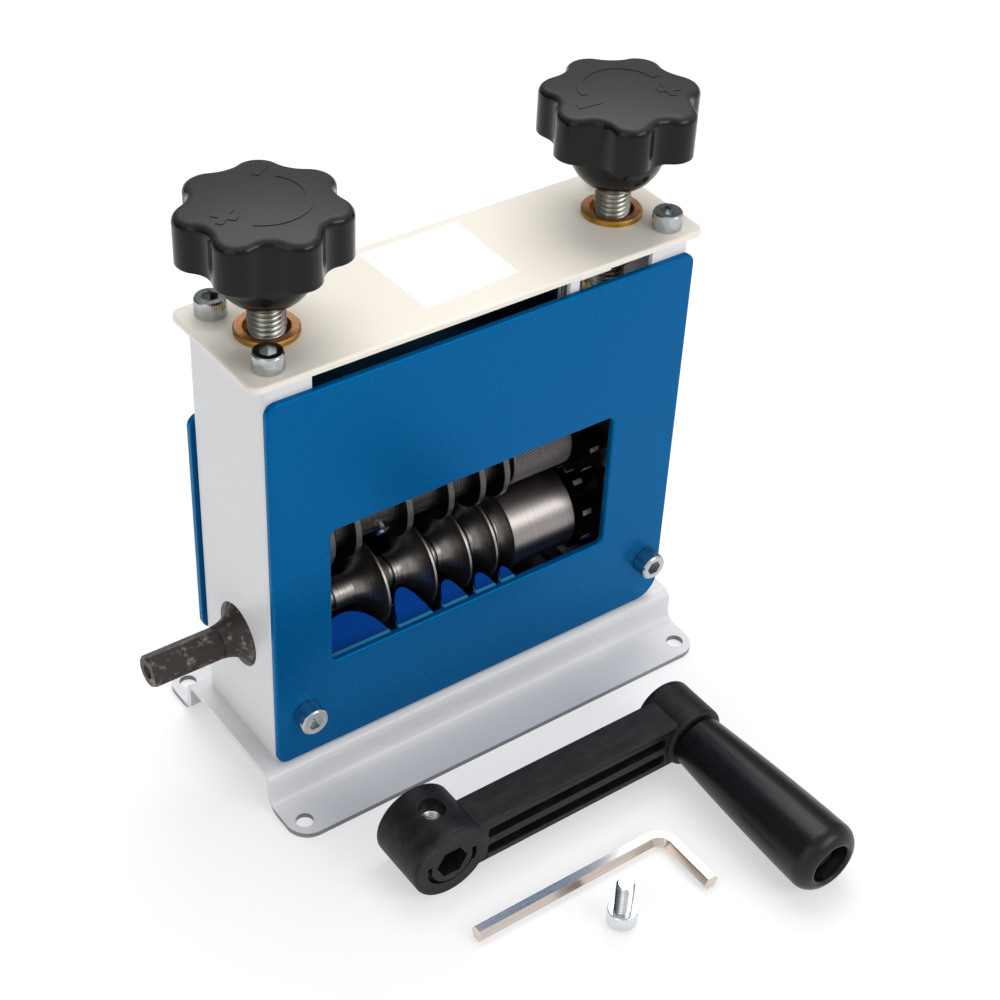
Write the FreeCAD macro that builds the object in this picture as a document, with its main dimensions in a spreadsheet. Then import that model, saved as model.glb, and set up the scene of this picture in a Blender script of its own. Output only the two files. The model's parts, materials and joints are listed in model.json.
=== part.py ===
import FreeCAD, Part
import math
import os
from FreeCAD import Vector, Placement, Rotation

os.makedirs("parts", exist_ok=True)
doc = FreeCAD.newDocument("WireStripper")

sheet = doc.addObject("Spreadsheet::Sheet", "Cells")
DIMENSIONS = [
    ("plate_length", 170.0), ("plate_depth", 50.0), ("plate_top", 170.0), ("sheet_gauge", 2.0),
    ("base_length", 172.5), ("base_depth", 93.4), ("base_top", 15.0), ("hat_depth", 56.0),
    ("mount_half_x", 80.2), ("mount_half_y", 39.8), ("mount_hole_radius", 3.1),
    ("web_face", 80.2), ("flange_reach", 16.0), ("upright_half_depth", 23.4),
    ("shaft_hole_radius", 11.5), ("shaft_height", 55.5), ("gear_distance", 34.0),
    ("cover_half_length", 81.0), ("cover_bottom", 15.5), ("cover_top", 162.6),
    ("window_left", -59.5), ("window_right", 52.5), ("window_bottom", 52.0), ("window_top", 107.0),
    ("back_cover_bottom", 40.0), ("back_cover_top", 129.0),
    ("cover_screw_x", 73.5), ("left_cover_screw_x", -70.0), ("cover_screw_height", 34.8),
    ("plate_screw_x", 74.8), ("plate_screw_y", 16.9), ("spindle_x", 65.3),
    ("cap_head_radius", 5.0), ("cap_head_height", 6.0), ("shank_radius", 3.0),
    ("bush_flange_radius", 10.2), ("bush_body_radius", 9.0), ("spindle_radius", 6.0),
    ("knob_bottom", 182.0), ("knob_top", 215.5), ("knob_radius", 26.5),
    ("roller_radius", 16.0), ("journal_radius", 6.0), ("seat_radius", 7.0),
    ("blade_radius", 15.0), ("blade_thickness", 2.4), ("spacer_radius", 10.0),
    ("knurl_radius", 13.0), ("gear_left", 49.5), ("gear_width", 7.7),
    ("gear_tip_radius", 18.4), ("gear_root_radius", 10.8),
    ("bearing_radius", 14.0), ("bearing_width", 8.0),
    ("hub_x", -56.0), ("grip_x", 45.0), ("crank_axis_height", 14.2), ("hub_radius", 14.2),
    ("crank_front", -90.7), ("crank_back", -67.4), ("hex_across_flats", 10.0),
    ("key_across_flats", 5.0),
    ("comb_face", -18.6), ("comb_height", 45.2), ("comb_gauge", 1.8), ("comb_screw_y", -13.5),
    ("lock_nut_radius", 7.6), ("lock_nut_bottom", 136.0), ("lock_nut_height", 8.0),
]
for row, (name, value) in enumerate(DIMENSIONS, 1):
    sheet.set("A%d" % row, name)
    sheet.set("B%d" % row, "%g" % value)
    sheet.setAlias("B%d" % row, name)
doc.recompute()
D = dict(DIMENSIONS)

X_AXIS = Rotation(Vector(0, 1, 0), 90)
Y_AXIS = Rotation(Vector(1, 0, 0), -90)
Z_AXIS = Rotation()
counter = [0]
finished = {}


def bind(obj, prop, value):
    """Set a property from a number, or tie it to the cells by an expression."""
    if isinstance(value, str):
        for word in sorted(D, key=len, reverse=True):
            value = value.replace("$" + word, "Cells." + word)
        obj.setExpression(prop, value)
    else:
        names = prop.strip(".").split(".")
        if names[0] == "Placement":
            base = obj.Placement.Base
            setattr(base, names[-1], value)
            obj.Placement = Placement(base, obj.Placement.Rotation)
        else:
            setattr(obj, names[0], value)


def new(kind, hint):
    counter[0] += 1
    return doc.addObject(kind, "%s_%03d" % (hint, counter[0]))


def place(obj, x, y, z, rotation=Z_AXIS):
    obj.Placement = Placement(Vector(0, 0, 0), rotation)
    bind(obj, ".Placement.Base.x", x)
    bind(obj, ".Placement.Base.y", y)
    bind(obj, ".Placement.Base.z", z)
    return obj


def box(x, y, z, length, width, height):
    obj = new("Part::Box", "Block")
    bind(obj, "Length", length)
    bind(obj, "Width", width)
    bind(obj, "Height", height)
    return place(obj, x, y, z)


def cylinder(x, y, z, radius, height, rotation=Z_AXIS):
    obj = new("Part::Cylinder", "Rod")
    bind(obj, "Radius", radius)
    bind(obj, "Height", height)
    return place(obj, x, y, z, rotation)


def cone(x, y, z, radius1, radius2, height, rotation=Z_AXIS):
    obj = new("Part::Cone", "Taper")
    bind(obj, "Radius1", radius1)
    bind(obj, "Radius2", radius2)
    bind(obj, "Height", height)
    return place(obj, x, y, z, rotation)


def hexagon(x, y, z, across_flats, height, rotation=Z_AXIS):
    obj = new("Part::Prism", "Hexagon")
    obj.Polygon = 6
    if isinstance(across_flats, str):
        bind(obj, "Circumradius", across_flats + " / 1.7320508")
    else:
        obj.Circumradius = across_flats / math.sqrt(3.0)
    bind(obj, "Height", height)
    return place(obj, x, y, z, rotation)


def fuse(*parts):
    obj = new("Part::MultiFuse", "Union")
    obj.Shapes = list(parts)
    obj.Refine = True
    return obj


def cut(base, *tools):
    obj = new("Part::Cut", "Cut")
    obj.Base = base
    obj.Tool = tools[0] if len(tools) == 1 else fuse(*tools)
    obj.Refine = True
    return obj


def common(first, second):
    obj = new("Part::MultiCommon", "Overlap")
    obj.Shapes = [first, second]
    return obj


def soften(base, radius, test):
    """Fillet the edges of base that pass the test."""
    doc.recompute()
    edges = [i + 1 for i, edge in enumerate(base.Shape.Edges) if test(edge)]
    obj = new("Part::Fillet", "Rounding")
    obj.Base = base
    obj.Edges = [(i, radius, radius) for i in edges]
    return obj


def bevel(base, size, test):
    doc.recompute()
    edges = [i + 1 for i, edge in enumerate(base.Shape.Edges) if test(edge)]
    obj = new("Part::Chamfer", "Bevel")
    obj.Base = base
    obj.Edges = [(i, size, size) for i in edges]
    return obj


def along(edge, axis):
    if not isinstance(edge.Curve, Part.Line):
        return False
    direction = edge.Curve.Direction
    return abs(getattr(direction, axis)) > 0.999


def ring_at(edge, axis, position, radius=None):
    """True for a full circle whose centre has the given coordinate and radius."""
    if not isinstance(edge.Curve, Part.Circle):
        return False
    if abs(getattr(edge.Curve.Center, axis) - position) > 0.01:
        return False
    return radius is None or abs(edge.Curve.Radius - radius) < 0.01


def corner_path(points):
    """Edges of a closed outline in the YZ or XZ plane; each point carries a corner radius."""
    count = len(points)
    starts, ends, arcs = [], [], []
    for i in range(count):
        p = points[i][0]
        radius = points[i][1]
        before = points[i - 1][0] - p
        after = points[(i + 1) % count][0] - p
        if radius <= 0:
            starts.append(p)
            ends.append(p)
            arcs.append(None)
            continue
        angle = before.getAngle(after)
        reach = radius / math.tan(angle / 2.0)
        u = Vector(before).normalize()
        v = Vector(after).normalize()
        centre = p + (u + v).normalize() * (radius / math.sin(angle / 2.0))
        middle = centre + (p - centre).normalize() * radius
        starts.append(p + u * reach)
        ends.append(p + v * reach)
        arcs.append(middle)
    edges = []
    for i in range(count):
        if arcs[i] is not None:
            edges.append(Part.Arc(starts[i], arcs[i], ends[i]).toShape())
        j = (i + 1) % count
        if ends[i].distanceToPoint(starts[j]) > 1e-6:
            edges.append(Part.makeLine(ends[i], starts[j]))
    return edges


def outline(edges):
    """A closed wire that no single feature describes, kept as its own object."""
    obj = new("Part::Feature", "Outline")
    obj.Shape = Part.Wire(Part.__sortEdges__(edges))
    return obj


def extrude(profile, direction, length, symmetric=False):
    obj = new("Part::Extrusion", "Extrusion")
    obj.Base = profile
    obj.DirMode = "Custom"
    obj.Dir = direction
    bind(obj, "LengthFwd", length)
    obj.Solid = True
    obj.Symmetric = symmetric
    return obj


def revolve(profile, base, axis):
    obj = new("Part::Revolution", "Turning")
    obj.Source = profile
    obj.Base = base
    obj.Axis = axis
    obj.Angle = 360.0
    obj.Solid = True
    return obj


def name_part(label, *objects):
    finished[label] = list(objects)
    if len(objects) == 1:
        objects[0].Label = label


SCREW_SOCKET, SOCKET_DEPTH, SOCKET_FLATS = 4.0, 3.2, 5.0


def plate_screw(x, y):
    """Socket cap screw that stands on the top plate."""
    head = cylinder(x, y, "$plate_top", "$cap_head_radius", "$cap_head_height")
    shank = cylinder(x, y, "$plate_top - 12", "$shank_radius", 12.0)
    socket = hexagon(x, y, "$plate_top + $cap_head_height - %g" % SOCKET_DEPTH, SOCKET_FLATS, SCREW_SOCKET)
    return cut(fuse(head, shank), socket)


def cover_screw(x):
    """Socket cap screw through the front cover, its head towards the viewer."""
    z = "$cover_screw_height"
    head = cylinder(x, COVER_FACE - D["cap_head_height"], z, "$cap_head_radius", "$cap_head_height", Y_AXIS)
    shank = cylinder(x, COVER_FACE, z, "$shank_radius", 14.0, Y_AXIS)
    socket_y = COVER_FACE - D["cap_head_height"] + SOCKET_DEPTH - SCREW_SOCKET
    return cut(fuse(head, shank), hexagon(x, socket_y, z, SOCKET_FLATS, SCREW_SOCKET, Y_AXIS))


def is_outer_ring(edge, radius):
    return isinstance(edge.Curve, Part.Circle) and abs(edge.Curve.Radius - radius) < 0.01


# Sheet metal body

top = D["base_top"]
end = -D["base_length"] / 2
edge_y = D["base_depth"] / 2 + 1.0
wall_y = D["hat_depth"] / 2
gauge = D["sheet_gauge"]
hat_points = [
    (-edge_y, 0, 0), (gauge - wall_y, 0, 7), (gauge - wall_y, top - gauge, 2),
    (wall_y - gauge, top - gauge, 2), (wall_y - gauge, 0, 7), (edge_y, 0, 0),
    (edge_y, gauge, 0), (wall_y, gauge, 5), (wall_y, top, 4),
    (-wall_y, top, 4), (-wall_y, gauge, 5), (-edge_y, gauge, 0)]
hat = outline(corner_path([(Vector(end, y, z), r) for y, z, r in hat_points]))
hat_body = extrude(hat, Vector(1, 0, 0), "$base_length")
footprint = box("-$base_length / 2", "-$base_depth / 2", 0.0, "$base_length", "$base_depth", 30.0)
footprint = soften(footprint, 8.0, lambda e: along(e, "z"))
mount_holes = [
    cylinder("%s$mount_half_x" % a, "%s$mount_half_y" % b, -1.0, "$mount_hole_radius", 10.0)
    for a in ("", "-") for b in ("", "-")]
foot_holes = [cylinder(a * 70.0, b * 13.0, 5.0, 2.6, 15.0) for a in (1, -1) for b in (1, -1)]
foot_holes += [cylinder(a * 40.0, "$comb_screw_y", 5.0, 2.1, 15.0) for a in (1, -1)]
name_part("base_channel", cut(common(hat_body, footprint), *(mount_holes + foot_holes)))


FRONT_SCREW_X = {-1: "$left_cover_screw_x", 1: "$cover_screw_x"}
COVER_FACE = -25.4


def upright(side):
    """Channel with its web outside; side is -1 for the left and 1 for the right one."""
    outer, inner = D["web_face"], D["web_face"] - 2.0
    reach = D["web_face"] - D["flange_reach"]
    h = D["upright_half_depth"]
    z = D["base_top"]
    section = [
        (Vector(side * reach, -h, z), 0), (Vector(side * outer, -h, z), 3),
        (Vector(side * outer, h, z), 3), (Vector(side * reach, h, z), 0),
        (Vector(side * reach, h - 2, z), 0), (Vector(side * inner, h - 2, z), 1),
        (Vector(side * inner, -h + 2, z), 1), (Vector(side * reach, -h + 2, z), 0)]
    channel = extrude(outline(corner_path(section)), Vector(0, 0, 1), "$plate_top - 2 - $base_top")
    low = min(side * inner, side * 59.0)
    foot = box(low, -19.0, "$base_top", inner - 59.0, 38.0, 2.0)
    lug = box(min(side * inner, side * 56.0), -20.5, "$plate_top - 4", inner - 56.0, 41.0, 2.0)
    shape = fuse(channel, foot, lug)
    holes = [cylinder(side * 70.0, b * 13.0, 10.0, 2.6, 12.0) for b in (1, -1)]
    holes += [cylinder("%d * $plate_screw_x" % side, "%d * $plate_screw_y" % b, 160.0, 3.1, 9.0)
              for b in (1, -1)]
    holes.append(cylinder("%d * $spindle_x" % side, 0.0, 160.0, "$bush_body_radius", 9.0))
    holes.append(cylinder(-outer - 1.0 if side < 0 else inner - 3.0, 0.0, "$shaft_height",
                          "$shaft_hole_radius", 6.0, X_AXIS))
    holes.append(cylinder(FRONT_SCREW_X[side], -25.0, "$cover_screw_height", 3.1, 5.0, Y_AXIS))
    holes.append(cylinder("%d * $cover_screw_x" % side, 20.0, 48.0, 3.1, 5.0, Y_AXIS))
    holes.append(cylinder("%d * $cover_screw_x" % side, 20.0, 121.0, 3.1, 5.0, Y_AXIS))
    return cut(shape, *holes)


name_part("left_upright", upright(-1))
name_part("right_upright", upright(1))

plate = box("-$plate_length / 2", "-$plate_depth / 2", "$plate_top - $sheet_gauge",
            "$plate_length", "$plate_depth", "$sheet_gauge")
plate = soften(plate, 4.0, lambda e: along(e, "z"))
plate_holes = [cylinder("%s$plate_screw_x" % a, "%s$plate_screw_y" % b, 160.0, 3.2, 20.0)
               for a in ("", "-") for b in ("", "-")]
plate_holes += [cylinder("%s$spindle_x" % a, 0.0, 160.0, "$bush_body_radius", 20.0)
                for a in ("", "-")]
plate = cut(plate, *plate_holes)
plate = soften(plate, 0.9, lambda e: e.BoundBox.ZMin > 169.9 and not is_outer_ring(e, 3.2)
               and not is_outer_ring(e, 9.0))
name_part("top_plate", plate)


def rounded_panel(x0, x1, z0, z1, y, radii):
    """Sheet panel in the XZ plane, two millimetres thick, with a radius for each corner."""
    points = [(Vector(x0, y, z0), radii[0]), (Vector(x1, y, z0), radii[1]),
              (Vector(x1, y, z1), radii[2]), (Vector(x0, y, z1), radii[3])]
    return extrude(outline(corner_path(points)), Vector(0, 1, 0), 2.0)


half = D["cover_half_length"]
panel = rounded_panel(-half, half, D["cover_bottom"], D["cover_top"], COVER_FACE, (4, 9, 4, 4))
window = extrude(outline(corner_path([
    (Vector(D["window_left"], -26, D["window_bottom"]), 2.5),
    (Vector(D["window_right"], -26, D["window_bottom"]), 2.5),
    (Vector(D["window_right"], -26, D["window_top"]), 2.5),
    (Vector(D["window_left"], -26, D["window_top"]), 2.5)])), Vector(0, 1, 0), 4.0)
screw_holes = [cylinder(x, -27.0, "$cover_screw_height", 3.2, 5.0, Y_AXIS)
               for x in FRONT_SCREW_X.values()]
name_part("front_cover", soften(cut(panel, window, *screw_holes), 0.8,
          lambda e: e.BoundBox.YMax < COVER_FACE + 0.01 and not is_outer_ring(e, 3.2)))

back = rounded_panel(-half, half, D["back_cover_bottom"], D["back_cover_top"], 23.4, (4, 4, 4, 4))
feeds = [(-45.05, 71.5, 9.5), (-21.45, 70.0, 7.5), (-4.8, 68.5, 5.5), (7.9, 68.0, 4.2), (17.4, 68.5, 3.0)]
feed_tools = [cylinder(x, 22.0, z, r, 5.0, Y_AXIS) for x, z, r in feeds]
feed_tools.append(box(25.0, 22.0, 70.0, 19.0, 5.0, 5.0))
feed_tools += [cylinder("%s$cover_screw_x" % a, 22.0, z, 3.2, 5.0, Y_AXIS)
               for a in ("", "-") for z in (48.0, 121.0)]
name_part("back_cover", cut(back, *feed_tools))

name_part("top_plate_screws", *[
    bevel(plate_screw("%s$plate_screw_x" % a, "%s$plate_screw_y" % b), 0.5,
          lambda e: ring_at(e, "z", 176.0, 5.0)) for a in ("-", "") for b in ("-", "")])
name_part("front_cover_screws", *[
    bevel(cover_screw(x), 0.5, lambda e: ring_at(e, "y", -31.4, 5.0)) for x in FRONT_SCREW_X.values()])


def button_screw(x, z):
    head = cylinder(x, 25.4, z, 5.0, 2.8, Y_AXIS)
    shank = cylinder(x, 16.5, z, 3.0, 9.0, Y_AXIS)
    body = soften(fuse(head, shank), 2.0, lambda e: ring_at(e, "y", 28.2, 5.0))
    return cut(body, hexagon(x, 26.4, z, 4.0, 4.0, Y_AXIS))


name_part("back_cover_screws", *[
    button_screw("%s$cover_screw_x" % a, z) for a in ("-", "") for z in (48.0, 121.0)])


def pan_screw(x, y, radius, head_radius, length):
    head = cylinder(x, y, 10.6, head_radius, 2.4)
    shank = cylinder(x, y, 13.0, radius, length)
    body = soften(fuse(head, shank), 1.4, lambda e: ring_at(e, "z", 10.6, head_radius))
    return cut(body, hexagon(x, y, 10.0, 3.0, 1.8))


name_part("base_screws", *[
    pan_screw(a * 70.0, b * 13.0, 2.5, 4.5, 7.0) for a in (-1, 1) for b in (-1, 1)])
name_part("comb_screws", *[pan_screw(a * 40.0, "$comb_screw_y", 2.0, 3.5, 6.0) for a in (-1, 1)])

stay = box(31.0, -23.3, 112.0, 4.0, 4.0, 56.0)
stay_foot = box(35.0, -23.3, 166.0, 12.0, 10.0, 2.0)
name_part("cover_stay", soften(fuse(stay, stay_foot), 0.6, lambda e: along(e, "z") and e.Length > 40))

# Comb

# Each groove: start and end along the shaft, corner radius, neck radius, relief slots,
# then the half width, length and end shape of the comb's tongue that reaches into it.
GROOVES = [
    (-58.8, -31.3, 6.75, 5.5, (-52.4, -46.4), (13.3, 12.6, 0.60)),
    (-30.5, -12.4, 6.8, 6.0, (-23.0, -17.9), (7.0, 12.8, 0.42)),
    (-11.6, 2.0, 5.1, 7.0, (-5.8,), (5.1, 9.0, 0.45)),
    (2.8, 13.0, 3.8, 8.5, (7.0,), (4.2, 6.6, 0.45)),
    (13.8, 21.0, 2.6, 10.5, (16.8,), (3.0, 5.3, 0.45)),
]
TONGUE_SLOPE = 33.0
BEND_Y, BEND_Z = -18.0, 46.0
leg = box(-58.5, "$comb_face", "$base_top", 116.5, "$comb_gauge", "$comb_height - $base_top")
foot = box(-46.0, "$comb_face", "$base_top", 92.0, 9.6, "$comb_gauge")
tongues = []
for x0, x1, a, neck, slots, (half_width, reach, crown) in GROOVES:
    middle = (x0 + x1) / 2.0
    left, right = middle - half_width, middle + half_width
    curve = Part.BezierCurve()
    curve.setPoles([
        Vector(left, 0, 0), Vector(middle - crown * half_width, 0, reach * 4.0 / 3.0),
        Vector(middle + crown * half_width, 0, reach * 4.0 / 3.0), Vector(right, 0, 0)])
    root = [Vector(left, 0, 0), Vector(left, 0, -0.6), Vector(right, 0, -0.6), Vector(right, 0, 0)]
    sides = [Part.makeLine(root[i], root[i + 1]) for i in range(3)]
    slab = extrude(outline([curve.toShape()] + sides), Vector(0, 1, 0), "$comb_gauge")
    slab.Placement = Placement(Vector(0, BEND_Y, BEND_Z), Rotation(Vector(1, 0, 0), TONGUE_SLOPE - 90.0))
    tongues.append(slab)
    lip = cylinder(left, BEND_Y + 1.1, BEND_Z - 1.35, 1.6, 2.0 * half_width, X_AXIS)
    tongues.append(lip)
comb_holes = [cylinder(a * 40.0, "$comb_screw_y", 12.0, 2.05, 8.0) for a in (1, -1)]
name_part("wire_comb", cut(fuse(leg, foot, *tongues), *comb_holes))

# Bushes, housings and bearings


def spindle_bush(side):
    x = "%d * $spindle_x" % side
    flange = cylinder(x, 0.0, "$plate_top", "$bush_flange_radius", 1.8)
    sleeve = cylinder(x, 0.0, "$plate_top - 16", "$bush_body_radius", 16.5)
    bore = cylinder(x, 0.0, "$plate_top - 20", "$spindle_radius + 0.08", 30.0)
    recess = cylinder(x, 0.0, "$plate_top - 2.2", 7.4, 10.0)
    body = cut(fuse(flange, sleeve), bore, recess)
    return bevel(body, 0.4, lambda e: ring_at(e, "z", 171.8, 10.2))


name_part("left_spindle_bush", spindle_bush(-1))
name_part("right_spindle_bush", spindle_bush(1))


def housing(side):
    x0 = -78.0 if side < 0 else 66.2
    block = box(x0, -21.2, 26.0, 13.4 if side < 0 else 11.8, 42.4, 47.0)
    block = bevel(block, 1.0, lambda e: along(e, "x"))
    seat_x = -78.0 if side < 0 else 78.0 - 8.2
    seat = cylinder(seat_x, 0.0, "$shaft_height", "$bearing_radius", 8.2, X_AXIS)
    bore = cylinder(x0 - 1, 0.0, "$shaft_height", 10.0, 16.0, X_AXIS)
    taps = [cylinder(FRONT_SCREW_X[side], -22.0, "$cover_screw_height", 3.1, 11.0, Y_AXIS),
            cylinder("%d * $cover_screw_x" % side, 16.0, 48.0, 3.1, 6.0, Y_AXIS)]
    return cut(block, seat, bore, *taps)


name_part("left_drive_housing", housing(-1))
name_part("right_drive_housing", housing(1))


def sealed_bearing(x):
    """Outer ring with its two seals, and the inner ring, as two solids of one bearing."""
    z = "$shaft_height"
    outer = cut(cylinder(x, 0.0, z, "$bearing_radius", "$bearing_width", X_AXIS),
                cylinder(x + 0.9, 0.0, z, 11.6, 6.2, X_AXIS),
                cylinder(x - 1.0, 0.0, z, 8.5, 12.0, X_AXIS))
    inner = cut(cylinder(x, 0.0, z, 8.1, "$bearing_width", X_AXIS),
                cylinder(x - 1.0, 0.0, z, "$journal_radius + 0.05", 12.0, X_AXIS))
    return [outer, inner]


name_part("left_drive_bearing", *sealed_bearing(-77.9))
name_part("right_drive_bearing", *sealed_bearing(69.9))

# Drive shaft with the grooved roller

LAND = D["roller_radius"]
AXIS_Z = D["shaft_height"]


def p(x, r):
    return Vector(x, 0, AXIS_Z + r)


profile = []
pen = [p(-88.0, 0)]


def line_to(x, r):
    target = p(x, r)
    profile.append(Part.makeLine(pen[0], target))
    pen[0] = target


def arc_to(xm, rm, x, r):
    target = p(x, r)
    profile.append(Part.Arc(pen[0], p(xm, rm), target).toShape())
    pen[0] = target


line_to(-88.0, 5.7)
arc_to(-83.0, 7.2, -79.6, 10.1)
line_to(-78.6, 10.1)
line_to(-78.6, 8.0)
line_to(-77.95, 8.0)
line_to(-77.95, D["journal_radius"])
line_to(-64.3, D["journal_radius"])
line_to(-64.3, 8.0)
line_to(-62.5, 8.0)
line_to(-62.5, 12.0)
line_to(-59.6, LAND)
for x0, x1, a, neck, slots, tongue in GROOVES:
    line_to(x0, LAND)
    depth = LAND - neck
    arc_to(x0 + 0.293 * a, neck + 0.293 * depth, x0 + a, neck)
    for s in slots:
        line_to(s - 0.8, neck)
        line_to(s - 0.8, neck - 1.0)
        line_to(s + 0.8, neck - 1.0)
        line_to(s + 0.8, neck)
    line_to(x1 - a, neck)
    arc_to(x1 - 0.293 * a, neck + 0.293 * depth, x1, LAND)
line_to(47.1, LAND)
line_to(47.6, LAND - 0.5)
line_to(47.6, 9.0)
line_to(49.5, 9.0)
line_to(49.5, D["seat_radius"])
line_to(57.3, D["seat_radius"])
line_to(57.3, D["journal_radius"])
line_to(79.7, D["journal_radius"])
line_to(80.2, D["journal_radius"] - 0.5)
line_to(80.2, 0)
profile.append(Part.makeLine(pen[0], p(-88.0, 0)))
turned = revolve(outline(profile), Vector(0, 0, AXIS_Z), Vector(1, 0, 0))
stub = hexagon(-113.6, 0.0, "$shaft_height", "$hex_across_flats", 27.0, X_AXIS)
stub_limit = fuse(cone(-113.6, 0.0, "$shaft_height", 5.1, 5.75, 0.8, X_AXIS),
                  cylinder(-112.8, 0.0, "$shaft_height", 5.75, 27.0, X_AXIS))
centre_hole = cone(-113.7, 0.0, "$shaft_height", 2.6, 1.0, 3.0, X_AXIS)
pilot = cylinder(-112.0, 0.0, "$shaft_height", 1.2, 6.0, X_AXIS)
ring_groove = cut(cylinder(78.05, 0.0, "$shaft_height", 9.0, 1.1, X_AXIS),
                  cylinder(77.0, 0.0, "$shaft_height", 5.5, 4.0, X_AXIS))
name_part("drive_roller", cut(fuse(turned, common(stub, stub_limit)), centre_hole, pilot, ring_groove))


def gear(height_cell, phase):
    """Long-toothed gear: ten tapered teeth on a hub, cut off at the tip circle."""
    teeth = []
    for k in range(10):
        tooth = new("Part::Wedge", "Tooth")
        tooth.Xmin, tooth.Xmax = 0.0, D["gear_width"]
        tooth.Ymin, tooth.Ymax = 8.0, 19.5
        taper = (2.3 - 0.9) / (D["gear_tip_radius"] - D["gear_root_radius"])
        low = 2.3 + taper * (D["gear_root_radius"] - 8.0)
        high = 0.9 - taper * (19.5 - D["gear_tip_radius"])
        tooth.Zmin, tooth.Zmax = -low, low
        tooth.X2min, tooth.X2max = 0.0, D["gear_width"]
        tooth.Z2min, tooth.Z2max = -high, high
        place(tooth, "$gear_left", 0.0, height_cell, Rotation(Vector(1, 0, 0), phase + 36.0 * k))
        teeth.append(tooth)
    root = cylinder("$gear_left", 0.0, height_cell, "$gear_root_radius", "$gear_width", X_AXIS)
    tip = cylinder("$gear_left", 0.0, height_cell, "$gear_tip_radius", "$gear_width", X_AXIS)
    bore = cylinder("$gear_left - 1", 0.0, height_cell, "$seat_radius", 12.0, X_AXIS)
    return cut(common(fuse(root, *teeth), tip), bore)


BLADE_CELL = "$shaft_height + $gear_distance"
name_part("drive_gear", gear("$shaft_height", 90.0))
name_part("driven_gear", gear(BLADE_CELL, -90.0 + 18.0))


def sleeve(x, length, radius, cell, bore="$seat_radius"):
    """Ring on a shaft, bored right through."""
    return cut(cylinder(x, 0.0, cell, radius, length, X_AXIS), cylinder(x - 1, 0.0, cell, bore, 30.0, X_AXIS))


name_part("drive_spacer", sleeve(57.5, 12.3, 8.2, "$shaft_height", "$journal_radius"))
gap = box(78.0, -1.5, 52.0 - 10.0, 2.0, 3.0, 10.0)
name_part("drive_retaining_ring", cut(sleeve(78.1, 1.0, 7.6, "$shaft_height", 5.5), gap))

# Upper shaft with the blades

upper_core = fuse(cylinder(-57.6, 0.0, BLADE_CELL, "$seat_radius", 114.9, X_AXIS),
                  cylinder(-77.0, 0.0, BLADE_CELL, "$journal_radius", 154.0, X_AXIS))
name_part("blade_shaft", bevel(upper_core, 0.5, lambda e: isinstance(e.Curve, Part.Circle)
          and abs(abs(e.Curve.Center.x) - 77.0) < 0.01))

BLADES = [-52.4, -42.4, -22.4, -6.0, 6.8, 16.8]
half_blade = D["blade_thickness"] / 2.0
for number, x in enumerate(BLADES, 1):
    disc = sleeve(x - half_blade, "$blade_thickness", "$blade_radius", BLADE_CELL)
    name_part("blade_disc_%d" % number, bevel(disc, 0.25, lambda e: is_outer_ring(e, D["blade_radius"])))
ends = [x + half_blade for x in BLADES]
starts = [x - half_blade for x in BLADES[1:]] + [21.4]
for number, (x0, x1) in enumerate(zip(ends, starts), 1):
    piece = sleeve(x0, x1 - x0, "$spacer_radius", BLADE_CELL)
    if number == 2:
        tap = cylinder(-31.0, 0.0, BLADE_CELL, 2.5, 12.0, Rotation(Vector(1, 0, 0), 110))
        piece = cut(piece, tap)
    name_part("blade_spacer_%d" % number, piece)
name_part("knurled_roller", bevel(sleeve(21.4, 24.6, "$knurl_radius", BLADE_CELL), 0.6,
          lambda e: is_outer_ring(e, 13.0)))
name_part("gear_spacer", sleeve(46.0, 3.5, 9.0, BLADE_CELL))
collar = sleeve(-57.6, 4.0, 11.0, BLADE_CELL)
collar_tap = cylinder(-55.6, 0.0, BLADE_CELL, 1.5, 12.0, Rotation(Vector(1, 0, 0), 110))
name_part("lock_collar", cut(collar, collar_tap))


def set_screw(x, cell, inner, outer, radius, angle):
    turn = Rotation(Vector(1, 0, 0), angle)
    rod = cylinder(x, 0.0, cell, radius, outer, turn)
    core = cylinder(x - 20.0, 0.0, cell, inner, 40.0, X_AXIS)
    height = AXIS_Z + (D["gear_distance"] if "gear_distance" in cell else 0.0)
    base = Vector(x, 0, height) + turn.multVec(Vector(0, 0, outer - 2.0))
    socket = hexagon(0.0, 0.0, 0.0, radius, 3.0)
    socket.Placement = Placement(base, turn)
    return cut(rod, core, socket)


name_part("blade_set_screws", set_screw(-31.0, BLADE_CELL, 7.0, 12.2, 2.5, 110),
          set_screw(-55.6, BLADE_CELL, 7.0, 10.8, 1.5, 110))

# Sliding blocks, bushes and keepers


def slide_block(side):
    x0 = -77.7 if side < 0 else 58.0
    block = box(x0, -20.9, 78.0, 19.7, 41.8, 28.0)
    block = bevel(block, 1.0, lambda e: along(e, "z"))
    bore = cylinder(x0 - 1.0, 0.0, BLADE_CELL, 9.0, 22.0, X_AXIS)
    pocket = cylinder("%d * $spindle_x" % side, 0.0, 101.0, 5.3, 10.0)
    taps = [cylinder(side * 65.3, b * 13.0, 98.0, 1.5, 10.0) for b in (1, -1)]
    return cut(block, bore, pocket, *taps)


def keeper(side):
    x = side * 65.3
    strip = box(x - 6.5, -17.0, 106.0, 13.0, 34.0, 2.0)
    strip = soften(strip, 2.0, lambda e: along(e, "z"))
    hole = cylinder(x, 0.0, 105.0, 3.6, 5.0)
    mouth = box(x if side < 0 else x - 8.0, -3.6, 105.0, 8.0, 7.2, 5.0)
    screws = [cylinder(x, b * 13.0, 105.0, 1.6, 5.0) for b in (1, -1)]
    return cut(strip, hole, mouth, *screws)


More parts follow.
